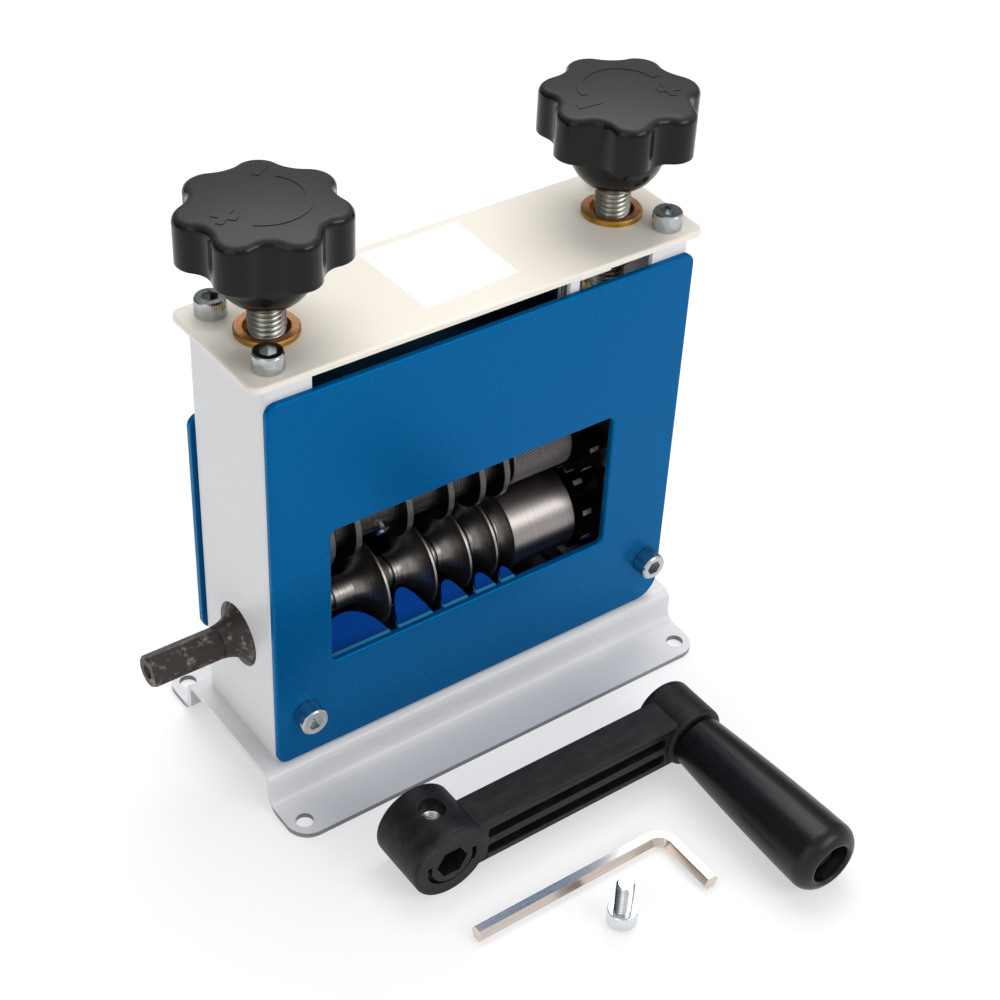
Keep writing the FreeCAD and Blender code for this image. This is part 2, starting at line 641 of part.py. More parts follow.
keeper_screws = []
for side, word in ((-1, "left"), (1, "right")):
    name_part(word + "_slide_block", slide_block(side))
    x0 = -77.7 if side < 0 else 58.0
    name_part(word + "_blade_bush", sleeve(x0, 19.7, 9.0, BLADE_CELL, "$journal_radius + 0.06"))
    name_part(word + "_keeper", keeper(side))
    for b in (1, -1):
        head = soften(cylinder(side * 65.3, b * 13.0, 108.0, 2.8, 1.8), 1.0, lambda e: ring_at(e, "z", 109.8))
        screw = fuse(head, cylinder(side * 65.3, b * 13.0, 99.0, 1.5, 9.5))
        keeper_screws.append(cut(screw, hexagon(side * 65.3, b * 13.0, 109.0, 2.0, 2.0)))
name_part("keeper_screws", *keeper_screws)

# Spindles and star knobs


def spindle(side):
    x = "%d * $spindle_x" % side
    rod = cylinder(x, 0.0, 108.3, "$spindle_radius", "$knob_top - 10 - 108.3")
    rod = bevel(rod, 0.8, lambda e: ring_at(e, "z", 205.5))
    lock_nut = cylinder(x, 0.0, "$lock_nut_bottom", "$lock_nut_radius", "$lock_nut_height")
    lock_nut = bevel(lock_nut, 0.5, lambda e: is_outer_ring(e, D["lock_nut_radius"]))
    return fuse(rod, lock_nut, cylinder(x, 0.0, 103.0, 3.3, 7.0), cylinder(x, 0.0, 101.3, 5.0, 4.4))


def star_knob(side):
    """Seven rounded lobes under a low dome, on a round hub that narrows downward."""
    x = side * D["spindle_x"]
    lobes = 7
    ring, lobe, valley = 19.0, 7.5, 7.5
    tilt0 = math.radians(12.0 if side < 0 else 34.0)
    step = 2 * math.pi / lobes
    edges = []
    touch = []
    for k in range(lobes):
        c = Vector(ring * math.cos(tilt0 + k * step), ring * math.sin(tilt0 + k * step), 0)
        m = tilt0 + (k + 0.5) * step
        half_chord = ring * math.sin(step / 2)
        out = math.sqrt((lobe + valley) ** 2 - half_chord ** 2)
        v = Vector(math.cos(m), math.sin(m), 0) * (ring * math.cos(step / 2) + out)
        touch.append((c, v))
    for k in range(lobes):
        c, v = touch[k]
        _, u = touch[k - 1]
        first = c + (u - c).normalize() * lobe
        last = c + (v - c).normalize() * lobe
        peak = c + Vector(c).normalize() * lobe
        edges.append(Part.Arc(first, peak, last).toShape())
        after = touch[(k + 1) % lobes][0]
        dip = v - Vector(v).normalize() * valley
        edges.append(Part.Arc(last, dip, after + (v - after).normalize() * lobe).toShape())
    star_height = 17.5
    top_z, low_z = D["knob_top"], D["knob_top"] - star_height
    shift = Vector(x, 0, low_z)
    for edge in edges:
        edge.translate(shift)
    star = extrude(outline(edges), Vector(0, 0, 1), "$knob_top - %g" % low_z)
    dome = new("Part::Sphere", "Dome")
    dome.Radius = 150.0
    place(dome, x, 0.0, top_z - 150.0)
    star = common(star, dome)
    star = soften(star, 2.8, lambda e: e.BoundBox.ZMin > top_z - 5.0)
    hub_low = D["knob_bottom"]
    bowl = [
        Part.makeLine(Vector(x, 0, hub_low), Vector(x + 9.2, 0, hub_low)),
        Part.Arc(Vector(x + 9.2, 0, hub_low), Vector(x + 14.2, 0, hub_low + 5.6),
                 Vector(x + 16.0, 0, hub_low + 12.5)).toShape(),
        Part.makeLine(Vector(x + 16.0, 0, hub_low + 12.5), Vector(x + 16.0, 0, low_z - 2.0)),
        Part.makeLine(Vector(x + 16.0, 0, low_z - 2.0), Vector(x + 18.0, 0, low_z + 0.5)),
        Part.makeLine(Vector(x + 18.0, 0, low_z + 0.5), Vector(x, 0, low_z + 0.5)),
        Part.makeLine(Vector(x, 0, low_z + 0.5), Vector(x, 0, hub_low))]
    hub = revolve(outline(bowl), Vector(x, 0, 0), Vector(0, 0, 1))
    insert_bore = cylinder(x, 0.0, 170.0, 8.0, 32.0)
    spindle_bore = cylinder(x, 0.0, 200.0, "$spindle_radius", 5.6)
    return cut(fuse(star, hub), insert_bore, spindle_bore)


for side, word in ((-1, "left"), (1, "right")):
    name_part(word + "_spindle", spindle(side))
    name_part(word + "_knob", star_knob(side))
    x = side * D["spindle_x"]
    insert = cut(cylinder(x, 0.0, 181.7, 8.0, 20.3), cylinder(x, 0.0, 181.0, "$spindle_radius", 30.0))
    name_part(word + "_knob_insert", insert)

# Crank, grip, key and clamp screw

hub_x, grip_x, hz = D["hub_x"], D["grip_x"], D["crank_axis_height"]
front, rear = D["crank_front"], D["crank_back"]
hub = cylinder("$hub_x", "$crank_front", "$crank_axis_height", "$hub_radius", rear - front, Y_AXIS)
hub = soften(hub, 1.3, lambda e: isinstance(e.Curve, Part.Circle))
arm = box(hub_x + 4.0, front + 0.5, hz - 9.0, grip_x - hub_x - 8.0, 14.5, 18.0)
arm = soften(arm, 1.2, lambda e: along(e, "x"))
boss = cylinder("$grip_x", "$crank_front - 1", "$crank_axis_height", 11.5, 19.0, Y_AXIS)
boss = soften(boss, 1.5, lambda e: isinstance(e.Curve, Part.Circle))
slots = []
for low in (-5.9, 1.6):
    slot_box = box(hub_x + 14.5, front - 1.0, hz + low, grip_x - hub_x - 27.0, 10.5, 4.3)
    slots.append(soften(slot_box, 1.2, lambda e: along(e, "y")))
hex_bore = hexagon("$hub_x", "$crank_front - 1.5", "$crank_axis_height", 10.2, 30.0, Y_AXIS)
screw_bore = cylinder("$hub_x", -78.7, "$crank_axis_height", 4.6, 20.0)
ring_gap = cut(cylinder("$hub_x", "$crank_front - 2", "$crank_axis_height", 9.5, 4.6, Y_AXIS),
               cylinder("$hub_x", "$crank_front - 3", "$crank_axis_height", 7.9, 7.0, Y_AXIS))
ring_gap = common(ring_gap, box(hub_x - 16.0, front - 5.0, hz - 15.0, 32.0, 10.0, 17.0))
lower_face = cut(cylinder("$hub_x", "$crank_front - 2", "$crank_axis_height", 16.0, 2.7, Y_AXIS),
                 cylinder("$hub_x", "$crank_front - 3", "$crank_axis_height", 8.7, 7.0, Y_AXIS))
lower_face = common(lower_face, box(hub_x - 17.0, front - 5.0, hz - 17.0, 34.0, 10.0, 13.0))
axle_tap = cylinder("$grip_x", "$crank_front - 2", "$crank_axis_height", 4.0, 17.0, Y_AXIS)
crank_cuts = [hex_bore, screw_bore, axle_tap, ring_gap, lower_face] + slots
name_part("crank_arm", cut(fuse(hub, arm, boss), *crank_cuts))
name_part("crank_insert", cut(cylinder("$hub_x", -78.7, hz + 5.2, 4.6, 4.2),
                              cylinder("$hub_x", -78.7, hz + 4.0, 3.1, 8.0)))

SCREW_HEAD_Y = -155.0
axle = fuse(cylinder("$grip_x", SCREW_HEAD_Y + 4.5, "$crank_axis_height", 4.0, 74.6, Y_AXIS),
            cylinder("$grip_x", SCREW_HEAD_Y, "$crank_axis_height", 5.6, 4.5, Y_AXIS))
axle = bevel(axle, 0.5, lambda e: ring_at(e, "y", SCREW_HEAD_Y))
screw_socket = hexagon("$grip_x", SCREW_HEAD_Y - 1.5, "$crank_axis_height", 5.0, 4.0, Y_AXIS)
name_part("grip_screw", cut(axle, screw_socket))


def g(y, r):
    return Vector(grip_x, y, hz + r)


GRIP_START, GRIP_END, GRIP_BORE, GRIP_MOUTH = front - 1.7, -159.9, 4.09, 7.2
grip_edges = [
    Part.makeLine(g(GRIP_START, GRIP_BORE), g(GRIP_START, 8.7)),
    Part.Arc(g(GRIP_START, 8.7), g(GRIP_START - 0.3, 9.3), g(GRIP_START - 0.9, 9.6)).toShape(),
    Part.Arc(g(GRIP_START - 0.9, 9.6), g(-124.0, 11.7), g(-153.5, 12.9)).toShape(),
    Part.Arc(g(-153.5, 12.9), g(-158.0, 11.6), g(GRIP_END, 8.7)).toShape(),
    Part.Arc(g(GRIP_END, 8.7), g(GRIP_END + 0.2, 7.7), g(GRIP_END + 1.0, GRIP_MOUTH)).toShape(),
    Part.makeLine(g(GRIP_END + 1.0, GRIP_MOUTH), g(SCREW_HEAD_Y + 4.8, GRIP_MOUTH)),
    Part.makeLine(g(SCREW_HEAD_Y + 4.8, GRIP_MOUTH), g(SCREW_HEAD_Y + 4.8, GRIP_BORE)),
    Part.makeLine(g(SCREW_HEAD_Y + 4.8, GRIP_BORE), g(GRIP_START, GRIP_BORE))]
name_part("crank_grip", revolve(outline(grip_edges), Vector(grip_x, 0, hz), Vector(0, 1, 0)))

KEY_Y, KEY_Z, KEY_BEND = -111.3, 2.5, 6.0
KEY_START, KEY_TURN, KEY_TIP_Y = -60.5, 9.3, -136.5
half_way = KEY_BEND * math.sqrt(0.5)
path = new("Part::Feature", "KeyPath")
path.Shape = Part.Wire([
    Part.makeLine(Vector(KEY_START, KEY_Y, KEY_Z), Vector(KEY_TURN, KEY_Y, KEY_Z)),
    Part.Arc(Vector(KEY_TURN, KEY_Y, KEY_Z),
             Vector(KEY_TURN + half_way, KEY_Y - KEY_BEND + half_way, KEY_Z),
             Vector(KEY_TURN + KEY_BEND, KEY_Y - KEY_BEND, KEY_Z)).toShape(),
    Part.makeLine(Vector(KEY_TURN + KEY_BEND, KEY_Y - KEY_BEND, KEY_Z),
                  Vector(KEY_TURN + KEY_BEND, KEY_TIP_Y, KEY_Z))])
section = new("Part::RegularPolygon", "KeySection")
section.Polygon = 6
bind(section, "Circumradius", "$key_across_flats / 1.7320508")
key_turn = Rotation(Vector(0, 1, 0), 90) * Rotation(Vector(0, 0, 1), 90)
section.Placement = Placement(Vector(KEY_START, KEY_Y, KEY_Z), key_turn)
doc.recompute()
key = new("Part::Sweep", "KeySweep")
key.Sections = [section]
key.Spine = (path, ["Edge1", "Edge2", "Edge3"])
key.Solid = True
key.Frenet = True
name_part("hex_key", key)

clamp = fuse(cylinder(-17.5, -131.0, 0.0, "$cap_head_radius", "$cap_head_height"),
             cylinder(-17.5, -131.0, "$cap_head_height", "$shank_radius", 12.0))
clamp = bevel(clamp, 0.5, lambda e: ring_at(e, "z", 0.0, 5.0) or ring_at(e, "z", 18.0, 3.0))
name_part("crank_clamp_screw", cut(clamp, hexagon(-17.5, -131.0, -0.5, 5.0, 3.5)))

# Checks and export

doc.recompute()
problems = []
for obj in doc.Objects:
    if "Invalid" in obj.State or "Error" in obj.State:
        problems.append("%s (%s) %s" % (obj.Name, obj.Label, obj.State))
for label, objects in finished.items():
    shapes = []
    for obj in objects:
        if obj.Shape.isNull() or not obj.Shape.isValid():
            problems.append("%s has no valid shape" % label)
            continue
        solids = obj.Shape.Solids
        if len(solids) != 1:
            problems.append("%s has %d solids" % (label, len(solids)))
        shapes += solids
    if not shapes:
        continue
    if len(shapes) == 1:
        objects[0].Label = label
        objects[0].Shape.exportStep("parts/%s.step" % label)
    else:
        group = doc.addObject("Part::Feature", "Group_" + label)
        group.Shape = Part.makeCompound(shapes)
        group.Label = label
        group.Shape.exportStep("parts/%s.step" % label)
    size = Part.makeCompound(shapes).BoundBox
    volume = sum(s.Volume for s in shapes)
    print("%-22s %6.1f %6.1f  %6.1f %6.1f  %6.1f %6.1f  vol %.0f" % (
        label, size.XMin, size.XMax, size.YMin, size.YMax, size.ZMin, size.ZMax, volume))
print(len(finished), "nodes")
if problems:
    raise RuntimeError("; ".join(problems))
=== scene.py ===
"""Hand crank wire stripper: finishes, threads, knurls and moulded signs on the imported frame.

Lengths are written in millimetres and multiplied by MM where Blender takes them, in metres.
All places are in the frame of the solids.
"""

import json
import math

import bmesh
import bpy
from mathutils import Matrix, Vector


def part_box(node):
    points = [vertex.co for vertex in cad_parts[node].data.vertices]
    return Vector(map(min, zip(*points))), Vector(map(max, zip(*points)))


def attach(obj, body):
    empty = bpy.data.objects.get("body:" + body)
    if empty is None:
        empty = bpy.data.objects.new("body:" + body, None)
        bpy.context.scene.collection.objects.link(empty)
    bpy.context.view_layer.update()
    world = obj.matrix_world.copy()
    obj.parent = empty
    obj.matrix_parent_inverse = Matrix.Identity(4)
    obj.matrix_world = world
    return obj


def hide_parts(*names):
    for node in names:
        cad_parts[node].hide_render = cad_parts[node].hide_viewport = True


MM = 0.001

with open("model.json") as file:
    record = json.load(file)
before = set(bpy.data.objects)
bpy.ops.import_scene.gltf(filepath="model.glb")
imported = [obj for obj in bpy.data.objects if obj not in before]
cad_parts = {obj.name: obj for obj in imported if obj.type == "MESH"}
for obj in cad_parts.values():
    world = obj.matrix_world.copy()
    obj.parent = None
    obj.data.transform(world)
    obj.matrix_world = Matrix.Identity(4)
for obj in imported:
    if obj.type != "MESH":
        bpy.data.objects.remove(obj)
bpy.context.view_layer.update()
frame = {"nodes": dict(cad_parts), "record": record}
nodes = frame["nodes"]

# Sizes of the machine, in millimetres

SHAFT_HEIGHT = 55.5
BLADE_HEIGHT = 89.5
BLADE_RADIUS = 15.0
GEAR_TIP = 18.4
SPINDLE_X = 65.3
PLATE_TOP = 170.0
COVER_FACE = -25.4
KNOB_TOP = 215.5
KNOB_DOME = 150.0

# Camera, fitted to nineteen points of the photograph; lens and sensor in Blender's own millimetres

LENS = 72.23
SENSOR = 36.0
AIM = (25.58, 0.0, 65.99)
DISTANCE = 704.2
AZIMUTH = math.radians(-37.77)
ELEVATION = math.radians(38.56)
ROLL = math.radians(3.1)


def add_camera():
    """Camera that looks at AIM from the photograph's side, with its small roll."""
    flat = math.cos(ELEVATION)
    back = Vector((math.sin(AZIMUTH) * flat, -math.cos(AZIMUTH) * flat, math.sin(ELEVATION)))
    right = (-back).cross(Vector((0, 0, 1))).normalized()
    up = right.cross(-back)
    rolled_right = right * math.cos(ROLL) + up * math.sin(ROLL)
    rolled_up = up * math.cos(ROLL) - right * math.sin(ROLL)
    data = bpy.data.cameras.new("Camera")
    data.lens = LENS
    data.sensor_width = SENSOR
    data.clip_start = 0.05
    data.clip_end = 20.0
    camera = bpy.data.objects.new("Camera", data)
    turn = Matrix((rolled_right, rolled_up, back)).transposed()
    camera.matrix_world = Matrix.Translation((Vector(AIM) + back * DISTANCE) * MM) @ turn.to_4x4()
    bpy.context.scene.collection.objects.link(camera)
    bpy.context.scene.camera = camera


# Node building


def add_node(tree, kind, values=None, **settings):
    """New node with its settings and the values of its unlinked inputs."""
    node = tree.nodes.new(kind)
    for name, setting in settings.items():
        setattr(node, name, setting)
    for name, value in (values or {}).items():
        node.inputs[name].default_value = value
    return node


def join(tree, source, target):
    tree.links.new(source, target)


def calculate(tree, operation, first, second=0.0, clamp=False):
    """Math node on sockets or numbers; gives its output socket."""
    node = add_node(tree, "ShaderNodeMath", operation=operation, use_clamp=clamp)
    for slot, value in ((0, first), (1, second)):
        if isinstance(value, (int, float)):
            node.inputs[slot].default_value = value
        else:
            join(tree, value, node.inputs[slot])
    return node.outputs[0]


def remap(tree, value, low, high, to_low=0.0, to_high=1.0):
    """Value between low and high, stretched to another range and held inside it."""
    node = add_node(tree, "ShaderNodeMapRange", {"From Min": low, "From Max": high,
                                                 "To Min": to_low, "To Max": to_high})
    join(tree, value, node.inputs["Value"])
    return node.outputs["Result"]


def split_axes(tree, vector):
    node = add_node(tree, "ShaderNodeSeparateXYZ")
    join(tree, vector, node.inputs[0])
    return node.outputs


def object_place(tree):
    return add_node(tree, "ShaderNodeTexCoord").outputs["Object"]


def facing_up(tree):
    """Rise of the surface's normal: 1 where it faces up, 0 on an upright wall."""
    return split_axes(tree, add_node(tree, "ShaderNodeNewGeometry").outputs["Normal"])["Z"]


def shaded(colour, share):
    """Colour of which only a share is left."""
    return tuple(channel * share for channel in colour)


def blend_colours(tree, factor, first, second):
    """Mix of two colours, each a tuple or a socket."""
    node = add_node(tree, "ShaderNodeMix", data_type="RGBA")
    join(tree, factor, node.inputs["Factor"])
    for name, value in (("A", first), ("B", second)):
        socket = [s for s in node.inputs if s.name == name and s.type == "RGBA"][0]
        if isinstance(value, tuple):
            socket.default_value = (*value, 1.0)
        else:
            join(tree, value, socket)
    return [s for s in node.outputs if s.type == "RGBA"][0]


def new_group(name, inputs, outputs):
    """Shader node group with float inputs and their defaults, and float outputs."""
    group = bpy.data.node_groups.new(name, "ShaderNodeTree")
    for label, value in inputs.items():
        socket = group.interface.new_socket(label, in_out="INPUT", socket_type="NodeSocketFloat")
        socket.default_value = value
    for label in outputs:
        group.interface.new_socket(label, in_out="OUTPUT", socket_type="NodeSocketFloat")
    entry = group.nodes.new("NodeGroupInput")
    result = group.nodes.new("NodeGroupOutput")
    return group, entry.outputs, result.inputs


def noise(tree, scale, detail=2.0, roughness=0.5, place=None):
    """Noise on Object coordinates, or on the given place; scale is a number or a socket."""
    node = add_node(tree, "ShaderNodeTexNoise", {"Detail": detail, "Roughness": roughness})
    join(tree, object_place(tree) if place is None else place, node.inputs["Vector"])
    if isinstance(scale, (int, float)):
        node.inputs["Scale"].default_value = scale
    else:
        join(tree, scale, node.inputs["Scale"])
    return node.outputs[0]


def stretched(tree, factors, turn=(0.0, 0.0, 0.0)):
    """Object coordinates stretched and turned by a Mapping node."""
    mapping = add_node(tree, "ShaderNodeMapping", {"Scale": factors, "Rotation": turn})
    join(tree, object_place(tree), mapping.inputs["Vector"])
    return mapping.outputs["Vector"]


# Effects that several finishes share


def make_orange_peel():
    """Slow ripple and fine dust of a sprayed powder coat, and its cloudy tone."""
    ripple_scale, dust_scale, tone_scale = 620.0, 2600.0, 1100.0
    group, given, wanted = new_group("Orange peel", {"Ripple Scale": ripple_scale, "Dust": 0.12},
                                     ["Height", "Tone"])
    ripple = noise(group, given["Ripple Scale"], 2.0, 0.5)
    dust = calculate(group, "MULTIPLY", noise(group, dust_scale, 1.0), given["Dust"])
    join(group, calculate(group, "ADD", ripple, dust), wanted["Height"])
    join(group, noise(group, tone_scale, 2.0, 0.6), wanted["Tone"])
    return group


def make_specks():
    """Sparse dark specks, as dust caught in paint: the middle of a rare few of the cells."""
    speck_radius = 0.055
    group, given, wanted = new_group("Specks", {"Scale": 160.0, "Share": 0.06}, ["Mask"])
    cells = add_node(group, "ShaderNodeTexVoronoi", feature="F1", distance="EUCLIDEAN")
    join(group, object_place(group), cells.inputs["Vector"])
    join(group, given["Scale"], cells.inputs["Scale"])
    near = calculate(group, "LESS_THAN", cells.outputs["Distance"], speck_radius)
    split = add_node(group, "ShaderNodeSeparateColor")
    join(group, cells.outputs["Color"], split.inputs[0])
    rare = calculate(group, "LESS_THAN", split.outputs[0], given["Share"])
    join(group, calculate(group, "MULTIPLY", near, rare), wanted["Mask"])
    return group


def make_inside_shade():
    """Mask of the machine's inside, between its walls, where painted shade darkens the sheet."""
    group, given, wanted = new_group("Inside", {"Half Width": 64.4 * MM, "Front": -21.6 * MM,
                                                "Back": 21.6 * MM, "Low": 11.0 * MM,
                                                "High": 167.5 * MM}, ["Mask"])
    axes = split_axes(group, object_place(group))
    width = calculate(group, "LESS_THAN", calculate(group, "ABSOLUTE", axes["X"]), given["Half Width"])
    behind = calculate(group, "GREATER_THAN", axes["Y"], given["Front"])
    before = calculate(group, "LESS_THAN", axes["Y"], given["Back"])
    above = calculate(group, "GREATER_THAN", axes["Z"], given["Low"])
    below = calculate(group, "LESS_THAN", axes["Z"], given["High"])
    depth = calculate(group, "MULTIPLY", behind, before)
    rise = calculate(group, "MULTIPLY", above, below)
    section = calculate(group, "MULTIPLY", depth, rise)
    join(group, calculate(group, "MULTIPLY", width, section), wanted["Mask"])
    return group


def make_turned():
    """Lathe lines round an axis along X at a given height, and the distance from that axis."""
    band_scale = 1500.0
    group, given, wanted = new_group("Turned lines", {"Axis Height": SHAFT_HEIGHT * MM, "Fineness": 4200.0},
                                     ["Height", "Tone", "Radius"])
    axes = split_axes(group, object_place(group))
    rise = calculate(group, "SUBTRACT", axes["Z"], given["Axis Height"])
    square = calculate(group, "ADD", calculate(group, "MULTIPLY", axes["Y"], axes["Y"]),
                       calculate(group, "MULTIPLY", rise, rise))
    radius = calculate(group, "SQRT", square)
    travel = calculate(group, "ADD", axes["X"], radius)
    lines = add_node(group, "ShaderNodeTexNoise", {"Detail": 3.0}, noise_dimensions="1D")
    join(group, travel, lines.inputs["W"])
    join(group, given["Fineness"], lines.inputs["Scale"])
    bands = add_node(group, "ShaderNodeTexNoise", {"Detail": 3.0, "Scale": band_scale}, noise_dimensions="1D")
    join(group, travel, bands.inputs["W"])
    join(group, lines.outputs[0], wanted["Height"])
    join(group, bands.outputs[0], wanted["Tone"])
    join(group, radius, wanted["Radius"])
    return group


def make_scratches():
    """Short scratches in three directions; Mask is 1 in a scratch."""
    line_width = 0.012
    group, given, wanted = new_group("Scratches", {"Scale": 300.0, "Share": 0.45}, ["Mask"])
    masks = []
    for factors, turn in (((1.0, 9.0, 1.0), 0.6), ((8.0, 1.0, 1.0), 1.9), ((1.0, 1.0, 9.0), 0.2)):
        place = stretched(group, factors, (turn, turn * 0.7, turn * 1.3))
        field = noise(group, given["Scale"], 1.0, 0.4, place)
        edge = calculate(group, "ABSOLUTE", calculate(group, "SUBTRACT", field, given["Share"]))
        masks.append(remap(group, edge, 0.0, line_width, 1.0, 0.0))
    either = calculate(group, "MAXIMUM", masks[0], masks[1])
    join(group, calculate(group, "MAXIMUM", either, masks[2]), wanted["Mask"])
    return group


def make_grain():
    """Moulded grain: fine pits, and slow flow marks that run along X."""
    group, given, wanted = new_group("Moulded grain", {"Grain Scale": 1400.0, "Flow Scale": 120.0},
                                     ["Height", "Flow"])
    join(group, noise(group, given["Grain Scale"], 3.0, 0.6), wanted["Height"])
    place = stretched(group, (1.0, 2.5, 2.5))
    join(group, noise(group, given["Flow Scale"], 4.0, 0.65, place), wanted["Flow"])
    return group


def make_patches():
    """Irregular patches of stain or oxide with soft edges; Cover is the share that they take."""
    softness = 0.08
    group, given, wanted = new_group("Patches", {"Scale": 90.0, "Cover": 0.5}, ["Mask"])
    wide = noise(group, given["Scale"], 5.0, 0.65)
    span = calculate(group, "SUBTRACT", 1.0, given["Cover"])
    node = add_node(group, "ShaderNodeMapRange")
    join(group, wide, node.inputs["Value"])
    join(group, calculate(group, "SUBTRACT", span, softness), node.inputs["From Min"])
    join(group, calculate(group, "ADD", span, softness), node.inputs["From Max"])
    join(group, node.outputs["Result"], wanted["Mask"])
    return group


ORANGE_PEEL = make_orange_peel()
SPECKS = make_specks()
INSIDE_SHADE = make_inside_shade()
TURNED = make_turned()
SCRATCHES = make_scratches()
GRAIN = make_grain()
PATCHES = make_patches()


def use_group(tree, group, **values):
    """A group in a material, with its inputs given by name with _ for a space."""
    node = tree.nodes.new("ShaderNodeGroup")
    node.node_tree = group
    for name, value in values.items():
        node.inputs[name.replace("_", " ")].default_value = value
    return node.outputs


def new_material(name, **sockets):
    """Principled material; the values that are the same all over sit on the shader's sockets."""
    material = bpy.data.materials.new(name)
    material.use_nodes = True
    tree = material.node_tree
    shader = tree.nodes["Principled BSDF"]
    for label, value in sockets.items():
        shader.inputs[label.replace("_", " ")].default_value = value
    return material, tree, shader


def add_bump(tree, shader, height, distance):
    """Bump of the given depth in metres."""
    node = add_node(tree, "ShaderNodeBump", {"Distance": distance})
    join(tree, height, node.inputs["Height"])
    join(tree, node.outputs[0], shader.inputs["Normal"])


# Paints


def powder_coat(name, low, high, roughness, ripple, speck, inside=(-21.6, 21.6, 0.05), foot=None,
                **sockets):
    """Sprayed coat between two close tones, with orange peel, specks of dust and painted shade on the inside.

    ripple is the depth of the orange peel in metres and speck the share of cells with a speck.
    inside holds where the painted inside shade starts and ends along Y, and how much of the colour stays
    there;
    foot is the tone of painted shade on the upright cut edge that stands on the bench.
    """
    material, tree, shader = new_material(name, **sockets)
    peel = use_group(tree, ORANGE_PEEL)
    colour = blend_colours(tree, remap(tree, peel["Tone"], 0.25, 0.75), low, high)
    dots = use_group(tree, SPECKS, Scale=170.0, Share=speck)
    colour = blend_colours(tree, dots["Mask"], colour, shaded(low, 0.2))
    # painted shade: inside the machine the colour keeps only a share of the low tone
    front, back, kept = inside
    inside_shade = use_group(tree, INSIDE_SHADE, Front=front * MM, Back=back * MM)
    colour = blend_colours(tree, inside_shade["Mask"], colour, shaded(low, kept))
    # painted shade: upright faces below the foot height take the darker foot tone
    if foot:
        foot_shade_height, steep = 1.95, 0.7
        height = split_axes(tree, object_place(tree))["Z"]
        upright = calculate(tree, "LESS_THAN", calculate(tree, "ABSOLUTE", facing_up(tree)), steep)
        in_foot_shade = calculate(tree, "LESS_THAN", height, foot_shade_height * MM)
        colour = blend_colours(tree, calculate(tree, "MULTIPLY", upright, in_foot_shade), colour, foot)
    join(tree, colour, shader.inputs["Base Color"])
    join(tree, remap(tree, peel["Tone"], 0.3, 0.7, roughness, roughness + 0.04), shader.inputs["Roughness"])
    add_bump(tree, shader, peel["Height"], ripple)
    return material


def comb_paint():
    """Blue coat of the comb, with painted light: brighter on the lips and a painted highlight, the brightest,
    where the tongues turn down above them.
    """
    bend_foot, lip_top = 45.6, 46.5
    material, tree, shader = new_material("Comb blue", Specular_IOR_Level=0.35,
                                          Specular_Tint=(0.1, 0.6, 1.0, 1.0))
    peel = use_group(tree, ORANGE_PEEL)
    tone = remap(tree, peel["Tone"], 0.25, 0.75)
    colour = blend_colours(tree, tone, (0.0, 0.045, 0.33), (0.0, 0.052, 0.37))
    height = split_axes(tree, object_place(tree))["Z"]
    # painted light: a brighter blue on the lips and a painted highlight on the strip above them
    lip_highlight = remap(tree, height, lip_top * MM, (lip_top + 0.2) * MM, 1.0, 0.0)
    colour = blend_colours(tree, lip_highlight, colour, (0.0, 0.13, 0.62))
    bend_highlight = remap(tree, height, bend_foot * MM, (bend_foot + 0.3) * MM)
    bend_highlight = calculate(tree, "MULTIPLY", bend_highlight, lip_highlight)
    colour = blend_colours(tree, bend_highlight, colour, (0.07, 0.52, 1.0))
    join(tree, colour, shader.inputs["Base Color"])
    join(tree, remap(tree, peel["Tone"], 0.3, 0.7, 0.2, 0.26), shader.inputs["Roughness"])
    add_bump(tree, shader, peel["Height"], 0.012 * MM)
    return material


# Metals


def zinc_plate(name="Zinc plate", low=(0.43, 0.46, 0.48), high=(0.54, 0.56, 0.56), smooth=0.14):
    """Bright zinc plating, faintly blue, with handling scratches."""
    material, tree, shader = new_material(name, Metallic=1.0)
    marks = use_group(tree, SCRATCHES, Scale=420.0, Share=0.48)
    clouds = noise(tree, 160.0, 2.0)
    join(tree, blend_colours(tree, remap(tree, clouds, 0.3, 0.7), low, high), shader.inputs["Base Color"])
    rough = calculate(tree, "ADD", remap(tree, clouds, 0.3, 0.7, smooth, smooth + 0.05),
                      calculate(tree, "MULTIPLY", marks["Mask"], 0.06))
    join(tree, rough, shader.inputs["Roughness"])
    add_bump(tree, shader, marks["Mask"], -0.0006 * MM)
    return material


def bronze():
    """Copper-coloured turned bronze; the rim is yellower than the face."""
    material, tree, shader = new_material("Bronze", Metallic=1.0)
    stain = use_group(tree, PATCHES, Scale=210.0, Cover=0.4)
    face = blend_colours(tree, stain["Mask"], (0.56, 0.27, 0.14), (0.43, 0.24, 0.085))
    rim = blend_colours(tree, stain["Mask"], (0.50, 0.30, 0.045), (0.33, 0.17, 0.02))
    top = remap(tree, facing_up(tree), 0.5, 0.9)
    join(tree, blend_colours(tree, top, rim, face), shader.inputs["Base Color"])
    rings = noise(tree, 1500.0, 2.0)
    join(tree, remap(tree, rings, 0.3, 0.7, 0.26, 0.38), shader.inputs["Roughness"])
    add_bump(tree, shader, rings, 0.006 * MM)
    return material


